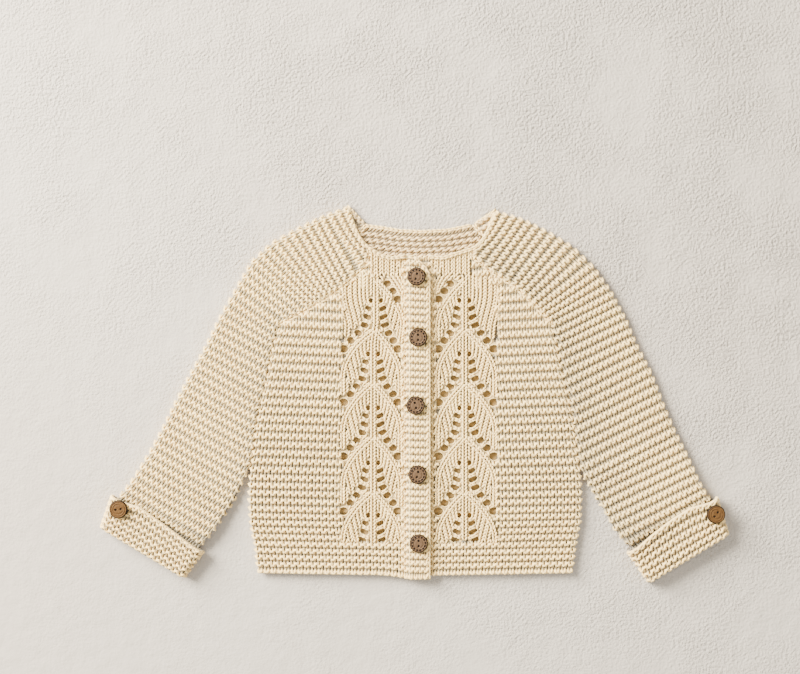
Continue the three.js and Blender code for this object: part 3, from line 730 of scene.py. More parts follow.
def vee_column(line, height, width=None, rise=KNIT_RISE, lift=0.0, start=0.0):
    """V stitches along a line of points, the open ends of the V towards its start. Their width is the
    line's third column, or else the number given."""
    along = lengths_along(line)
    strands = []
    place = rise * (0.5 + start)
    while place < along[-1] - rise * 0.2:
        spot = point_at(line, along, place)
        ahead, behind = min(place + 0.8, along[-1]), max(place - 0.8, 0)
        down = (point_at(line, along, ahead) - point_at(line, along, behind))[:2]
        down /= max(np.hypot(*down), 1e-6)
        right = np.array([-down[1], down[0]])
        wide = (spot[2] if len(spot) > 2 else width) * (1 + rng.normal(0, 0.03))
        flat = spot[:2] + np.outer(VEE[:, 0] * wide, right) - np.outer(VEE[:, 1] * rise, down)
        z = height + lift + VEE[:, 2] * 0.95 + rng.normal(0, 0.07)
        # painted shade: the number falls where the legs dive back
        strands.append(np.column_stack([flat, z, 0.55 + 0.8 * VEE[:, 2]]))
        place += rise
    return strands


# %% [markdown]
# ## The lines the lace follows
# Each leaf has two firm lines along its arch, and columns that start as the bars between the holes,
# lean out and end at the arch. Two upright columns fill the space beside the vein. A line is cut
# wherever a hole or the edge of the panel takes it away.

# %% Columns of one side of a leaf
def leaf_lines(tip, following, way):
    """Columns of one side of a leaf: distance from the vein, height and width, with their lift. A column
    starts as the bar between two holes, leans out and ends at the arch."""
    share = 1.0 if way > 0 else BAND_SHARE
    open_top = tip == TIPS[0] and way > 0
    y = np.arange(tip - 0.5, max(following - 14.0, LACE_BOTTOM), -LINE_STEP)
    arch = read(ARCH, tip - y) * share
    lines = []
    if not open_top:
        slope = np.gradient(arch, y)
        size = np.hypot(1, slope)
        lines.append((columns(arch - ARCH_INSIDE / size, y + ARCH_INSIDE * slope / size, 4.4), 0.4))
        near = (tip - y < 24) & (tip - y > 1.5)
        outer = columns(arch + ARCH_OUTSIDE / size, y - ARCH_OUTSIDE * slope / size, 3.8)
        lines.append((outer[near], 0.05))
    holes = HOLES[:, [1 if way > 0 else 2, 0]]
    for k, slant in enumerate(RAY_SLANT):
        middle = (holes[k] + holes[k + 1]) / 2
        ray = np.array([math.cos(math.radians(slant)), math.sin(math.radians(slant))])
        back = (middle[0] - 2.2) / ray[0] if k < 3 else 3.2
        points = [[*(middle - ray * back), 2.2], [*middle, 2.4]]
        place, run = middle.copy(), 0.0
        while run < 70:
            far = np.interp(place[1], *COLUMN_LEAN)
            tilt = math.radians(far + (90 - slant - far) * math.exp(-run / 2.2))
            place = place + LINE_STEP * np.array([math.sin(tilt), math.cos(tilt)])
            run += LINE_STEP
            top = following + place[1]
            edge = 40.0 if open_top else float(read(ARCH, tip - top)) * share - 3.6
            if place[0] > edge or top > (LACE_TOP if open_top else tip - 1):
                break
            points.append([*place, min(2.4 + run * 0.55, 5.4)])
        line = np.array(points)[::-1]
        line[:, 1] += following
        if len(line) > 3:
            lines.append((line, 0.0))
    # the upright columns: distance from the vein, and height above the next tip where each starts
    for x, low in ((5.4, 24.2), (10.8, 31.0)):
        heights = np.arange(LACE_TOP if open_top else tip - 1, following + low, -LINE_STEP)
        inside = np.full(len(heights), True) if open_top else read(ARCH, tip - heights) * share > x + 3.4
        lines += [(piece, 0.0) for piece in split(columns(x, heights, 5.3), inside)]
    return lines


# %% All columns and rims of one panel
def lace_columns(side):
    """Lines of the columns of stitches on one front, with their lift"""
    sign = SIGN[side]
    outline = np.concatenate([SIDE, RAGLAN[side]])
    heights = np.arange(LACE_TOP, LACE_BOTTOM - 1, -1.0)
    lines = [(columns(0.0, heights, 5.0), 0.35, 1)]
    for k, tip in enumerate(TIPS[:-1]):
        for way in (1, -1):
            lines += [(line, lift, way) for line, lift in leaf_lines(tip, TIPS[k + 1], way)]
    # above the first leaf, slanting columns by the band
    y = np.arange(LACE_TOP, TIPS[0] - 26, -LINE_STEP)
    for rise in (6.5, 12.5, 18.0, 23.5):
        lines.append((columns(read(ARCH, TIPS[0] - y + rise) * BAND_SHARE, y, 4.8), 0.0, -1))
    seen = []
    for line, lift, way in lines:
        x, y = vein_at(side, line[:, 1]) + way * line[:, 0], line[:, 1]
        keep = (x < read(outline, y) - 2.5) & (x > INNER_EDGE[side] + 1.0) & (y > LACE_BOTTOM - 1)
        keep &= ~in_holes(side, x, y, 0.6)
        seen += [(piece, lift) for piece in split(columns(sign * x, y, line[:, 2]), keep)]
    return seen


def lace_rims(side):
    """A ring of yarn round each hole. Two rings that touch make the bar between their holes."""
    sign = SIGN[side]
    strands = []
    t = np.linspace(0, 2 * np.pi, 17)
    for d, y, w, h, slant in lace_holes(side):
        # each ring: how far out, how far down, and its number for painted shade; the outer ring lies lower
        # and gets more painted shade
        for grow, drop, front in ((0.6, 0.6, 0.7), (1.9, 0.95, 0.5)):
            u = (w / 2 + grow + LOOSE) * np.cos(t)
            v = (h / 2 + grow + LOOSE) * np.sin(t)
            x = d + u * math.cos(slant) - v * math.sin(slant)
            up = y + u * math.sin(slant) + v * math.cos(slant)
            ring = columns(sign * x, up, FRONT_MID - drop + rng.normal(0, 0.05), front)
            outside = ~in_holes(side, x, up, 0.3) & (x > INNER_EDGE[side] - 0.5)
            strands += [ring] if grow < 1 else split(ring, outside)
    return strands


# %% [markdown]
# ## The fronts
# Garter rows run from the band to the side fold. Where they reach the lace they stop, and the leaves
# take their place. At the raglan seam the rows grow shorter while the columns stay upright, as in a
# real yoke.

# %% Fronts
def body_height(row):
    """Height of a row at the side of the body"""
    step = (BODY_RIDGES[-1, 1] - BODY_RIDGES[-2, 1]) / (BODY_RIDGES[-1, 0] - BODY_RIDGES[-2, 0])
    return np.interp(row / 2, *BODY_RIDGES.T) + step * np.maximum(row / 2 - BODY_RIDGES[-1, 0], 0)


def front_cloth(side):
    sign, inner = SIGN[side], INNER_EDGE[side]
    outline = np.concatenate([SIDE, RAGLAN[side]])
    neck = NECK[side]

    def first(row):
        share = body_height(row) / YOKE_TOP
        return columns(sign * inner, -2.0 + (neck[0, 1] + 2.0) * share)

    def last(row):
        y = body_height(row)
        return columns(sign * (read(outline, y) - SEAM), y)

    def bend(row, x, y):
        straight = np.interp(np.abs(x), [inner, neck[-1, 0]], [neck[0, 1], neck[-1, 1]])
        sag = (read(neck, np.abs(x)) - straight) * np.clip((row - 60) / 20, 0, 1.1) ** 2
        dip = 2.2 * np.clip(1 - (np.abs(x) - inner) / 26, 0, 1) ** 2 * np.clip(1 - row / 9, 0, 1)
        return columns(0.0, sag - (dip if side == "right" else 0.0))
    return Cloth(first, last, even(FRONT_MID), (1, 0), (1.9, 1.5), bend)


def front_gauge(cloth):
    rows = np.linspace(0, BODY_ROWS, 81)
    width = cloth.width(rows) / BODY_STITCHES
    under = UNDERARM / YOKE_TOP * BODY_ROWS
    width = np.where(rows > under, np.interp(under, rows, width), width)
    return lambda row: np.interp(row, rows, width)


def rib_foot(side, d):
    """Where the ribs of the neck edge end: at the lace, or after 8 mm"""
    away = np.asarray(d, float) - vein_at(side, 240.0)
    over_lace = (np.abs(away) < 19) & (d < NECK[side][-1, 0] - 2.4)
    return np.where(over_lace, lace_top(away), read(NECK[side], d) - 8.0)


for side in ("right", "left"):
    cloth = front_cloth(side)
    gauge = front_gauge(cloth)
    sign = SIGN[side]
    garter = cast_on(cloth, gauge)
    for row in range(1, BODY_ROWS):
        strand = garter_row(cloth, row, cloth.long(row) / gauge(row) - 0.05, gauge)
        below_neck = strand[:, 1] < rib_foot(side, sign * strand[:, 0]) + 2.0
        garter += split(strand, below_neck & ~in_lace(side, sign * strand[:, 0], strand[:, 1]))
    wind_yarn(side + "_front_garter", garter)
    leaves = []
    for line, lift in lace_columns(side):
        for vee in vee_column(line, FRONT_MID, lift=lift, start=rng.uniform(0, 0.4)):
            if in_holes(side, sign * vee[:, 0], vee[:, 1], -0.1).mean() < 0.2:
                leaves.append(vee)
    # a column of stitches beside the band, and the ribs that come down from the neck edge
    selvedge = np.arange(NECK[side][0, 1] - 9.0, 1.0, -1.0)
    leaves += vee_column(columns(sign * (INNER_EDGE[side] + 0.9), selvedge), FRONT_MID - 0.5, 3.4, 3.6)
    for d in np.arange(INNER_EDGE[side] + 2.5, NECK[side][-1, 0], 4.6):
        rib = [[sign * d, float(read(NECK[side], d)) - 0.5], [sign * d, float(rib_foot(side, d)) - 1.0]]
        leaves += vee_column(np.array(rib), FRONT_MID, 5.0, 2.9)
    wind_yarn(side + "_front_leaves", leaves, 0.77)
    wind_yarn(side + "_front_rims", lace_rims(side), 0.65)
    ground_sheet(side + "_front_sheet", side + "_front", cloth, np.linspace(0.6, BODY_ROWS, 170), 76, -0.85,
                 hole=lambda m, s=side: in_holes(s, SIGN[s] * m[:, 0], m[:, 1], 0.4))

# %% [markdown]
# ## The back
# Only the inside of the neck shows, and the warm painted shade of the back behind the lace holes. The yarn
# is made where it can be seen, and a plain closed sheet makes the rest.

# %% Back
def back_cloth(tight=1.0):
    """The back, or with tight below 1 the same shape in rows that are closer together"""
    def end(side):
        outline = np.concatenate([SIDE, BACK_RAGLAN[side]])
        top = BACK_RAGLAN[side][-1, 0]

        def place(row):
            y = top * (row * tight) / BODY_ROWS
            return columns(SIGN[side] * (read(outline, y) - SEAM), y)
        return place

    def bend(row, x, y):
        sag = read(BACK_NECK, x) - np.interp(x, *BACK_NECK[[0, -1]].T)
        return columns(0.0, sag * np.clip((row * tight - 60) / 20, 0, 1.1) ** 1.5)
    return Cloth(end("right"), end("left"), even(BACK_MID), (1.2, 1.2), (1.2, 1.2), bend)


# the upper faces get the warm tan painted shade, and the faces that look down get the underside's finish
ground_sheet("back_sheet", "back", back_cloth(), np.linspace(0.4, BODY_ROWS, 200), 40, -0.6, relief=0.5,
             finish=TAN_SHADE, under=True)

TIGHT = 0.72                 # the neck is knitted tighter than the rest of the back
NECK_STITCH, NECK_FROM = 5.9, 93     # width of a stitch there, and the first row that shows
neck_cloth = back_cloth(TIGHT)
inside = []
for row in range(NECK_FROM, int(BODY_ROWS / TIGHT)):
    strand = garter_row(neck_cloth, row, neck_cloth.long(row) / NECK_STITCH, even(NECK_STITCH))
    x, y = strand[:, 0], strand[:, 1]
    front_neck = np.where(x < 0, read(NECK["right"], -x), read(NECK["left"], x))
    inside += split(strand, (y > front_neck - 3) & (x > -52) & (x < 60))
wind_yarn("back_inside", inside, 0.92, SHADED)

# %% [markdown]
# ## The sleeves
# A sleeve is a tube pressed flat. Its rows fan round the shoulder and then slope down the arm. Each
# row starts under the outer fold, rolls over it, crosses the arm and ends in the seam beside the body.

# %% Sleeves
NECK_BULGE = 3.8             # how far the sleeve's neck edge bulges out


def sleeve_cloth(side, layer):
    sign, table = SIGN[side], SLEEVE[side]
    rows = 2 * np.concatenate([[0], np.cumsum(SLEEVE_RIDGES)])
    raglan = RAGLAN if layer == "front" else BACK_RAGLAN
    outline = np.concatenate([INNER[side], SIDE[5:], raglan[side]])
    column = 2 if layer == "front" else 3

    def fold(row):
        return columns(sign * np.interp(row, rows, table[:, 0]), np.interp(row, rows, table[:, 1]))

    def seam(row):
        y = np.interp(row, rows, table[:, column])
        tuck = np.interp(y, [78.0, 92.0], [0.0, 1.6])
        return columns(sign * (read(outline, y) + SEAM - tuck), y)

    def level(row):
        lifted = 2.9 * np.interp(row, rows, table[:, 4]) ** 1.5
        dip = 1.9 * np.clip(1 - (rows[-1] - row) / 3.0, 0, 1)
        return (FRONT_MID if layer == "front" else BACK_MID) + lifted - dip

    def bend(row, x, y):
        # the neck edge is a curve that bulges towards the sleeve
        share = np.clip((y - table[0, 2]) / (table[0, 1] - table[0, 2]), 0, 1)
        bulge = NECK_BULGE * np.sin(np.pi * share ** 0.6) * np.clip(1 - row / 10, 0, 1.2) ** 1.5
        return columns(sign * bulge, 0.0)
    return Cloth(fold, seam, level, (2.1, 2.7), (1.9, 1.3), bend), rows[-1]


SLEEVE_STITCH = 4.8
UNDER_SHARE = np.linspace(0.05, 0.985, 16)[:, None]    # points of the far layer, from fold to seam
# Painted shade on the sleeve beside the body, where the cloth sinks: how light the yarn is at distances
# from the seam
CREASE_SHADE = {"right": ([0, 10, 24], [0.72, 0.86, 1.0]), "left": ([0, 14, 50], [0.62, 0.72, 0.95])}


for side in ("right", "left"):
    cloth, last = sleeve_cloth(side, "front")
    back_seam = sleeve_cloth(side, "back")[0].last
    gauge = even(SLEEVE_STITCH)
    rows = []
    for row in range(0, int(last) + 1):
        strand = garter_row(cloth, row, cloth.long(row) / SLEEVE_STITCH - 0.05, gauge)
        strand[:, 3] *= np.interp(row, [last - 3.5, last - 1], [1, 0.5])    # shade under the cuff's edge
        # painted shade towards the seam beside the body
        strand[:, 3] *= np.interp(np.linspace(cloth.long(row), 0, len(strand)), *CREASE_SHADE[side])
        rows.append(strand)
    # the far layer shows its inside in the corner of the neck
    far = Cloth(cloth.first, back_seam, even(BACK_MID + 0.3), (2.1, 0.5), (1.5, 0.5))
    table, hidden = SLEEVE[side], []
    for row in range(0, 8):
        strand = garter_row(far, row, far.long(row) / SLEEVE_STITCH - 0.05, gauge)
        t = (strand[:, 1] - table[0, 2]) / (table[0, 1] - table[0, 2])
        edge = np.interp(t, [0, 1], [RAGLAN[side][-1, 1], table[0, 0]])
        # painted shade in the corner of the neck, stronger on the right
        strand[:, 3] *= 0.5 if side == "right" else 0.8
        hidden += split(strand, SIGN[side] * strand[:, 0] < edge + 4.5)
    wind_yarn(side + "_sleeve_garter", rows)
    wind_yarn(side + "_sleeve_inside", hidden, YARN, SHADED)
    grid, grid_rows = [], np.linspace(0, last + 1.2, 200)
    for row in grid_rows:
        here = np.array([row])
        top = cloth.at(row, np.linspace(3.0, cloth.long(row) - 0.6, 30), -1.1)[::-1]
        fold = cloth.first(here)[0]
        low = fold + (back_seam(here)[0] - fold) * UNDER_SHARE
        height = cloth.level(here)[0] - FRONT_MID + 1.15 + ridge(row, 0.5)
        grid.append(np.concatenate([top, columns(*low.T, height)]))
    wall_from(side + "_sleeve_sheet", side + "_sleeve", grid, grid_rows, under=True)

# %% [markdown]
# ## The turned-back cuffs
# The last rows of the sleeve are turned back over it. Their rows run along the fold, wrap round both
# ends of the flattened wrist, and roll in at the fold.

# %% Cuffs
CUFF_ROWS = 11
CUFF_STITCHES = 17


def cuff_cloth(side):
    sign, plan = SIGN[side], CUFF[side]
    (fa, fb), (ga, gb) = [np.array(pair) for pair in (plan["free"], plan["fold"])]
    out = (fb - fa) / np.hypot(*(fb - fa))

    def place(a, b, row, grow):
        share = np.clip(row / CUFF_ROWS, 0, 1.0)[:, None]
        point = a + (b - a) * share + grow * out * 3.6
        return point * [sign, 1]

    def level(row):
        past = np.clip(row - (CUFF_ROWS - 1.2), 0, 2.4)
        return CUFF_MID - 1.2 * past ** 1.6 + 0.7 * np.clip(1.5 - row, 0, 1.5)

    def bend(row, x, y):
        share = 1 - np.clip(row / CUFF_ROWS, 0, 1)
        u = (np.abs(x) - fb[0]) / (fa[0] - fb[0])
        rise = np.interp(1 - u, [0.06, 0.3, 0.5, 0.73, 0.94], plan["rise"])
        return columns(0.0, rise * share ** 2 * 0.9)
    return Cloth(lambda row: place(fa, ga, row, -1), lambda row: place(fb, gb, row, 1), level,
                 (4.2, 2.4), (4.2, 2.4), bend)


for side in ("right", "left"):
    cloth = cuff_cloth(side)
    width = cloth.long(0)
    gauge = even(width / CUFF_STITCHES)
    rows = [garter_row(cloth, row, cloth.long(row) / gauge(0.0) - 0.02, gauge)
            for row in range(0, CUFF_ROWS + 2)]
    for twist in (0.0, np.pi):
        length = np.arange(2.0, width - 2.0, 0.6)
        wave = 2 * np.pi * length / 4.2 + twist
        edge = cloth.at(-0.55 + 0.34 * np.cos(wave), length, 0.2 + 0.6 * np.sin(wave))
        # painted shade: the number falls where the edge strand dips back
        rows.append(np.column_stack([edge, 0.8 + 0.2 * np.sin(wave)]))
    wind_yarn(side + "_cuff_garter", rows)
    rings, ring_rows = [], np.linspace(0.2, CUFF_ROWS + 0.6, 16)
    for row in ring_rows:
        top = cloth.at(row, np.linspace(0, cloth.long(row), 36), -0.8)
        rings.append(np.concatenate([top, top[::-1][1:-1] * [1, 1, 0] + [0, 0, 0.35]]))
    wall_from(side + "_cuff_sheet", side + "_cuff", rings, ring_rows, ring=True, top=18, under=True)

# %% [markdown]
# ## The front bands
# The bands are knitted with the fronts, in the same garter stitch. The buttonhole band lies over the
# button band, so its left side climbs and its right side ends in a firm chain edge.

# %% Bands
def band_corner(y):
    """How far the band's right edge is rounded off near the neck"""
    return 8.5 * np.clip((np.asarray(y, float) - 243) / 12, 0, 1.2) ** 1.7


def band_cloth():
    def first(row):
        return columns(BAND_LEFT - 0.6, BAND_LOW + (259 - BAND_LOW) * row / BAND_ROWS)

    def last(row):
        y = BAND_LOW + (257.5 - BAND_LOW) * row / BAND_ROWS
        return columns(BAND_RIGHT - band_corner(y), y)

    class Band(Cloth):
        def at(self, row, length, out=0.0):
            points = super().at(row, length, out)
            climb = np.clip((points[:, 0] - BAND_LEFT - 0.3) / 4.6, 0, 1)
            points[:, 2] -= (BAND_MID - FRONT_MID - 0.1) * (1 - climb * climb * (3 - 2 * climb))
            return points
    return Band(first, last, even(BAND_MID), (1, 0), (1.5, 1.6))


cloth = band_cloth()
gauge = even((cloth.long(0) - 1.6) / 5.0)
rows = cast_on(cloth, gauge)
for row in range(1, BAND_ROWS):
    room = (cloth.long(row) - 1.6) / gauge(0.0)
    rows.append(garter_row(cloth, row, min(4.95, room - 0.05), gauge))
wind_yarn("buttonhole_band_garter", rows)
ground_sheet("buttonhole_band_sheet", "buttonhole_band", cloth, np.linspace(0.5, BAND_ROWS - 0.5, 60), 16,
             -0.8)
lower = Cloth(lambda row: columns(-4.3, -2.3 + 259 * row / BAND_ROWS),
              lambda row: columns(12.1, -2.3 + 259 * row / BAND_ROWS), even(FRONT_MID))
wind_yarn("button_band_garter", [garter_row(lower, row, 4.2, even(4.1))
                                 for row in range(82, BAND_ROWS + 1)])
ground_sheet("button_band_sheet", "button_band", lower, np.linspace(0, BAND_ROWS, 60), 10, 0.3)

# %% [markdown]
# ## Chain edges
# A bind-off leaves a chain of small V stitches along the neck and along the free edge of the band,
# and a line of larger ones marks each raglan seam.

# %% Chains at the neck, the raglans and the band
def smooth(points, step=1.0):
    points = np.asarray(points, float)
    lengths = lengths_along(points)
    line = point_at(points, lengths, np.arange(0, lengths[-1], step)).T
    for _ in range(6):
        line[1:-1] = (line[:-2] + 2 * line[1:-1] + line[2:]) / 4
    return line


def chain(points, width, rise, lift):
    """V stitches along a smoothed line that also has a height"""
    line = smooth(points)
    strands = vee_column(line[:, :2], 0.0, width, rise)
    for k, strand in enumerate(strands):
        strand[:, 2] += np.interp(rise * (0.5 + k), lengths_along(line), line[:, 2]) + lift
    return strands


def on_sleeve(side, share):
    """A point of the sleeve's neck edge, from the front seam (0) to the shoulder fold (1)"""
    (x, y), (fold_x, fold_y) = NECK[side][-1], SLEEVE[side][0, :2]
    bulge = NECK_BULGE * math.sin(math.pi * share ** 0.6)
    return x + (fold_x - x) * share + bulge, y + (fold_y - y) * share


# two strands of the shaded yarn lie in the crease between the body and each sleeve: painted shade in that
# gap
y = np.arange(84.0, 203.0, 1.5)
crease_shade_strands = [columns(SIGN[side] * (read(SIDE, y) + shift), y, 1.7, 0.45)
           for side in ("right", "left") for shift in (-0.7, 0.9)]
wind_yarn("side_crease_shade", crease_shade_strands, 1.2, SHADED)

edges = []
for side in ("right", "left"):
    sign, fold = SIGN[side], SLEEVE[side][0, :2]
    front_edge = [[sign * x, y, FRONT_MID + 0.5] for x, y in NECK[side]]
    front_edge[0][2] = BAND_MID if side == "right" else FRONT_MID + 0.5
    up = [[sign * on_sleeve(side, t)[0], on_sleeve(side, t)[1], FRONT_MID + 0.4 - 1.6 * t ** 3]
          for t in (0.15, 0.3, 0.45, 0.6, 0.8, 1.0)]
    (low_y, low_x), (top_y, top_x) = BACK_RAGLAN[side]
    down = [[sign * (fold[0] + (top_x - fold[0]) * t), fold[1] + (top_y - fold[1]) * t, 2.6 - 0.6 * t]
            for t in (0.35, 0.7, 1.0)]
    corner = [[sign * (top_x + (low_x - top_x) * t), top_y + (low_y - top_y) * t, 3.0 - 6.0 * t]
              for t in (0.0, 0.05, 0.12)]
    seam = [[sign * x, y, FRONT_MID - 0.4] for y, x in RAGLAN[side][::-1]]
    edges += chain(front_edge + up, 2.9, 4.0, 0.3)
    edges += chain([up[-1]] + down, 2.9, 4.0, 0.2)
    edges += chain(corner, 3.4, 3.6, 0.0)
    edges += chain(seam, 4.2, 4.4, 0.0)
edges += chain([[x, y, BACK_MID + 0.6] for x, y in BACK_NECK], 2.9, 4.0, 0.2)
band_edge = [[BAND_RIGHT - 1.2 - band_corner(y), y, BAND_MID + 0.4]
             for y in [BAND_LOW + 1, *range(240, 258, 3)]]
band_edge += [[BAND_RIGHT - 12, 258.6, BAND_MID + 0.3], [BAND_LEFT + 2, 258.8, BAND_MID - 0.8],
              [BAND_LEFT - 2, 259, FRONT_MID + 0.6]]
edges += chain(band_edge, 3.0, 4.6, 0.0)
wind_yarn("chain_edges", edges, 0.85)

# %% [markdown]
# ## Wooden buttons
# The buttons are turned discs with a dished face, a rounded rim and two holes. The brown ones have a
# ring of short burnt dashes between two fine grooves. They are spun from a profile, and the dashes are
# painted by the angle round the middle. The outer rim of every button is painted dark by its radius,
# as painted shade on the rounded side.

# %% Wood
# painted shade on the rim from the first radius outwards; the burnt dashes lie on a ring at the second
RIM_SHADE_FROM, DASH_RING = 0.0064, 0.0054    # radii in metres


def wood_finish(name, light, dark, centre, dashes, rim_shade):
    paint = Paint(name)
    local = paint.node("ShaderNodeVectorMath", {"operation": "SUBTRACT"}, [paint.place(), tuple(centre)])
    x, y = paint.x_and_y(local)
    radius = (x * x + y * y).maths("SQRT")
    stretched = paint.node("ShaderNodeVectorMath", {"operation": "MULTIPLY"}, [local, (1.0, 0.16, 1.0)])
    grain = paint.noise(stretched, 1900.0, 4.0)
    tone = grain * 0.75 + paint.noise(local, 420.0) * 0.45
    colour = paint.ramp(tone, [(0.35, dark), (0.8, light)])
    # painted shade on the rim, its strength given by the last argument; the dashes added below are real
    # burnt marks
    burnt_and_rim_shade = ((radius - RIM_SHADE_FROM) * 2500.0).clamp() * rim_shade
    if dashes:
        spoke = (((y.maths("ARCTAN2", x) * 13.0).maths("SINE") + 0.3) * 5.0).clamp()
        ring = ((1.0 - (radius - DASH_RING).maths("ABSOLUTE") * 1250.0) * 4.0).clamp()
        burnt_and_rim_shade = (burnt_and_rim_shade + spoke * ring).maths("MINIMUM", 1.0)
    return paint.finish(paint.mix(burnt_and_rim_shade, colour, (0.005, 0.0025, 0.0012, 1.0)), 0.7, 0.12,
                        grain, 0.00015, 0.5)


WOODS = {"brown_wood": ((0.118, 0.071, 0.037), (0.057, 0.030, 0.014)),
         "pale_wood": ((0.112, 0.056, 0.016), (0.045, 0.019, 0.005))}

# %% Turned button
# Radius and height of points from the middle of the back, round the rim, to the middle of the face
PROFILE = [(0.0, 0.0), (6.2, 0.0), (7.0, 0.3), (7.4, 0.9), (7.5, 1.5), (7.35, 2.1), (6.9, 2.6), (6.3, 2.8),
           (5.95, 2.75), (5.8, 2.45), (5.55, 2.45), (5.4, 2.7), (4.3, 2.62), (4.15, 2.42), (3.95, 2.42),
           (3.8, 2.55), (2.0, 2.35), (0.0, 2.3)]
TURNS = 48                   # points round a button
HOLE_OUT, HOLE_RADIUS, HOLE_POINTS = 2.1, 0.95, 16


def circle(x, y, radius, count, start=0.0):
    return [(x + radius * math.cos(start + 2 * math.pi * k / count),
             y + radius * math.sin(start + 2 * math.pi * k / count)) for k in range(count)]


def spin_button(name, node, finish, x, y, z, angle):
    """One button, and the thread in its two holes"""
    points = [(*spot, z + height) for radius, height in PROFILE
              for spot in circle(x, y, radius, TURNS, angle)]
    obj = new_object(name, points, (), quads(len(PROFILE), TURNS, True))
    obj.modifiers.new("Weld", "WELD").merge_threshold = 0.00001
    cutters, thread = [], []
    for cx, cy in circle(x, y, HOLE_OUT, 2, angle):
        ring = circle(cx, cy, HOLE_RADIUS, HOLE_POINTS)
        ends = [tuple(range(HOLE_POINTS - 1, -1, -1)), tuple(range(HOLE_POINTS, 2 * HOLE_POINTS))]
        cutters.append(new_object(name + "_cut", [(*spot, z + end) for end in (-1, 4) for spot in ring], (),
                                  quads(2, HOLE_POINTS, True) + ends))
        cut = obj.modifiers.new("Hole", "BOOLEAN")
        cut.object, cut.operation, cut.solver = cutters[-1], "DIFFERENCE", "EXACT"
        thread.append(np.array([[cx, cy, z + up, 1] for up in (-0.9, 0.6, 1.6)]))
    settle(obj)
    for cutter in cutters:
        bpy.data.objects.remove(cutter)
    obj.data.materials.clear()
    obj.data.materials.append(finish)
    for polygon in obj.data.polygons:
        polygon.use_smooth = True
    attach(obj, "root")
    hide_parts(node)
    return thread


# %% Buttons on the band and the cuffs
BAND_BUTTON_BACK, CUFF_BUTTON_BACK = 9.5, 12.4    # height of each button's back
threads = []
for i, (x, y) in enumerate([(1.0, 242.6), (2.4, 192.9), (0.3, 137.5), (2.0, 81.2), (2.9, 25.1)]):
    finish = wood_finish(f"brown_wood_{i + 1}", *WOODS["brown_wood"], metres([x, y, 0.0]), True, 1.0)
    threads += spin_button(f"band_button_{i + 1}", f"button_{i + 1}", finish, x, y,
                           BAND_BUTTON_BACK, math.pi / 2 + 0.25 * (i % 3 - 1))
for side, x, y, angle in (("right", -241.0, 53.3, 0.15), ("left", 244.3, 49.2, 0.9)):
    finish = wood_finish(f"pale_wood_{side}", *WOODS["pale_wood"], metres([x, y, 0.0]), False, 0.95)
    threads += spin_button(f"{side}_cuff_button_wood", f"{side}_cuff_button", finish,
                           x, y, CUFF_BUTTON_BACK, angle)
print(len(threads) // 2, "wooden buttons")
# the thread stands upright in each hole; its near-black colour is painted shade of the hole, while the
# thread itself is real
THREAD_SHADE = yarn_finish("thread_in_hole_shade", (0.022, 0.013, 0.009), (0.014, 0.008, 0.006), (0.01, 0.006, 0.005))
wind_yarn("button_threads", threads, 0.78, THREAD_SHADE, 6)

def laid(name, width, length, share, rests, *yarn):
    """Flat size in millimetres, the share of it that the cut covers, which is not used, and the yarn on the
    sheet, which is not used
    """
    print(name, width, "x", length, "mm")


for side in ("right", "left"):
    front, sleeve, cuff = side + "_front", side + "_sleeve", side + "_cuff"
    laid(front + "_sheet", 126, 266, 0.86, "back_sheet",
         front + "_garter", front + "_leaves", front + "_rims")
    laid(sleeve + "_sheet", 172, 250, 0.85, "floor", sleeve + "_garter", sleeve + "_inside")
    laid(cuff + "_sheet", 185, 26, 0.95, sleeve + "_sheet", cuff + "_garter")
laid("back_sheet", 275, 285, 0.86, "floor", "back_inside")
laid("buttonhole_band_sheet", 22, 262, 1.0, "button_band_sheet", "buttonhole_band_garter")
laid("button_band_sheet", 21, 260, 0.8, "back_sheet", "button_band_garter")

# %% [markdown]
# ## Floor, light and camera
# The cardigan lies on a pale plaster-like board in soft daylight that comes from one side. The camera
# looks straight down, as the photographer did.

# %% Floor
REACH = 3.0                  # metres from the middle to each side of the floor


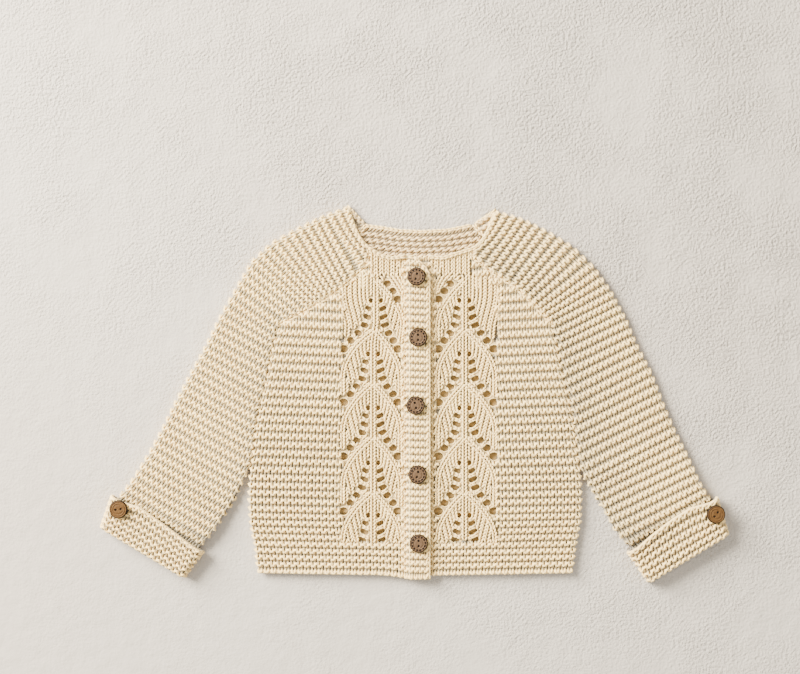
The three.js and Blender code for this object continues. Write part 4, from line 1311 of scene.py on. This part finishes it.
def floor_finish():
    paint = Paint("pale_plaster")
    place = paint.place()
    broad, soft, grit = paint.noise(place, 2.2), paint.noise(place, 70.0), paint.noise(place, 430.0, 4.0)
    worn = paint.ramp(paint.noise(place, 14.0), [(0.35, (0.25, 0.25, 0.25)), (0.62, (1.0, 1.0, 1.0))])
    # the plaster is rougher towards the upper right of the photo
    x, y = paint.x_and_y(place)
    rough = (x + y * 1.3 + 0.55).clamp(0.12)
    colour = paint.ramp(broad, [(0.3, (0.47, 0.41, 0.335)), (0.7, (0.50, 0.45, 0.375))])
    return paint.finish(colour, 0.9, 0.15, soft * 0.2 + grit * worn * rough * 0.8, 0.005)


floor_mesh = bpy.data.meshes.new("floor")
floor_mesh.from_pydata([(x * REACH, y * REACH, 0) for x, y in ((-1, -1), (1, -1), (1, 1), (-1, 1))], [],
                       [(0, 1, 2, 3)])
floor = bpy.data.objects.new("floor", floor_mesh)
bpy.context.scene.collection.objects.link(floor)
floor_mesh.materials.append(floor_finish())

# %% Light
world = bpy.data.worlds.new("studio")
world.use_nodes = True
sky = world.node_tree.nodes["Background"].inputs
sky["Color"].default_value, sky["Strength"].default_value = (1.0, 0.985, 0.96, 1.0), 1.0
bpy.context.scene.world = world


def window(name, place, size, power, colour):
    lamp = bpy.data.lights.new(name, "AREA")
    lamp.shape, lamp.size, lamp.energy, lamp.color = "SQUARE", size, power, colour
    obj = bpy.data.objects.new(name, lamp)
    obj.location = place
    x, y, z = place
    obj.rotation_euler = (math.atan2(math.hypot(x, y), z), 0, math.atan2(-y, -x) - math.pi / 2)
    bpy.context.scene.collection.objects.link(obj)
    print(name, "of", power, "watts")


window("window_left", (-1.6, 1.05, 1.0), 1.2, 400, (1.0, 0.965, 0.895))
window("room_right", (1.6, -0.8, 1.8), 2.0, 25, (1.0, 0.96, 0.92))

# %% Camera
SCALE = 0.00082              # metres in one pixel of the frame
FRAME_WIDTH, FRAME_HEIGHT = 800, 674
MIDDLE_X, MIDDLE_Y = 414.5, 393.5    # pixel of the cardigan's middle
camera_data = bpy.data.cameras.new("camera")
camera_data.lens, camera_data.sensor_width = 50, 36
height = FRAME_WIDTH * SCALE * camera_data.lens / camera_data.sensor_width
camera = bpy.data.objects.new("camera", camera_data)
camera.location = ((FRAME_WIDTH / 2 - MIDDLE_X) * SCALE, (MIDDLE_Y - FRAME_HEIGHT / 2) * SCALE,
                   height + 0.005)
bpy.context.scene.collection.objects.link(camera)
bpy.context.scene.camera = camera
print("camera", round(height, 3), "metres above the cardigan")
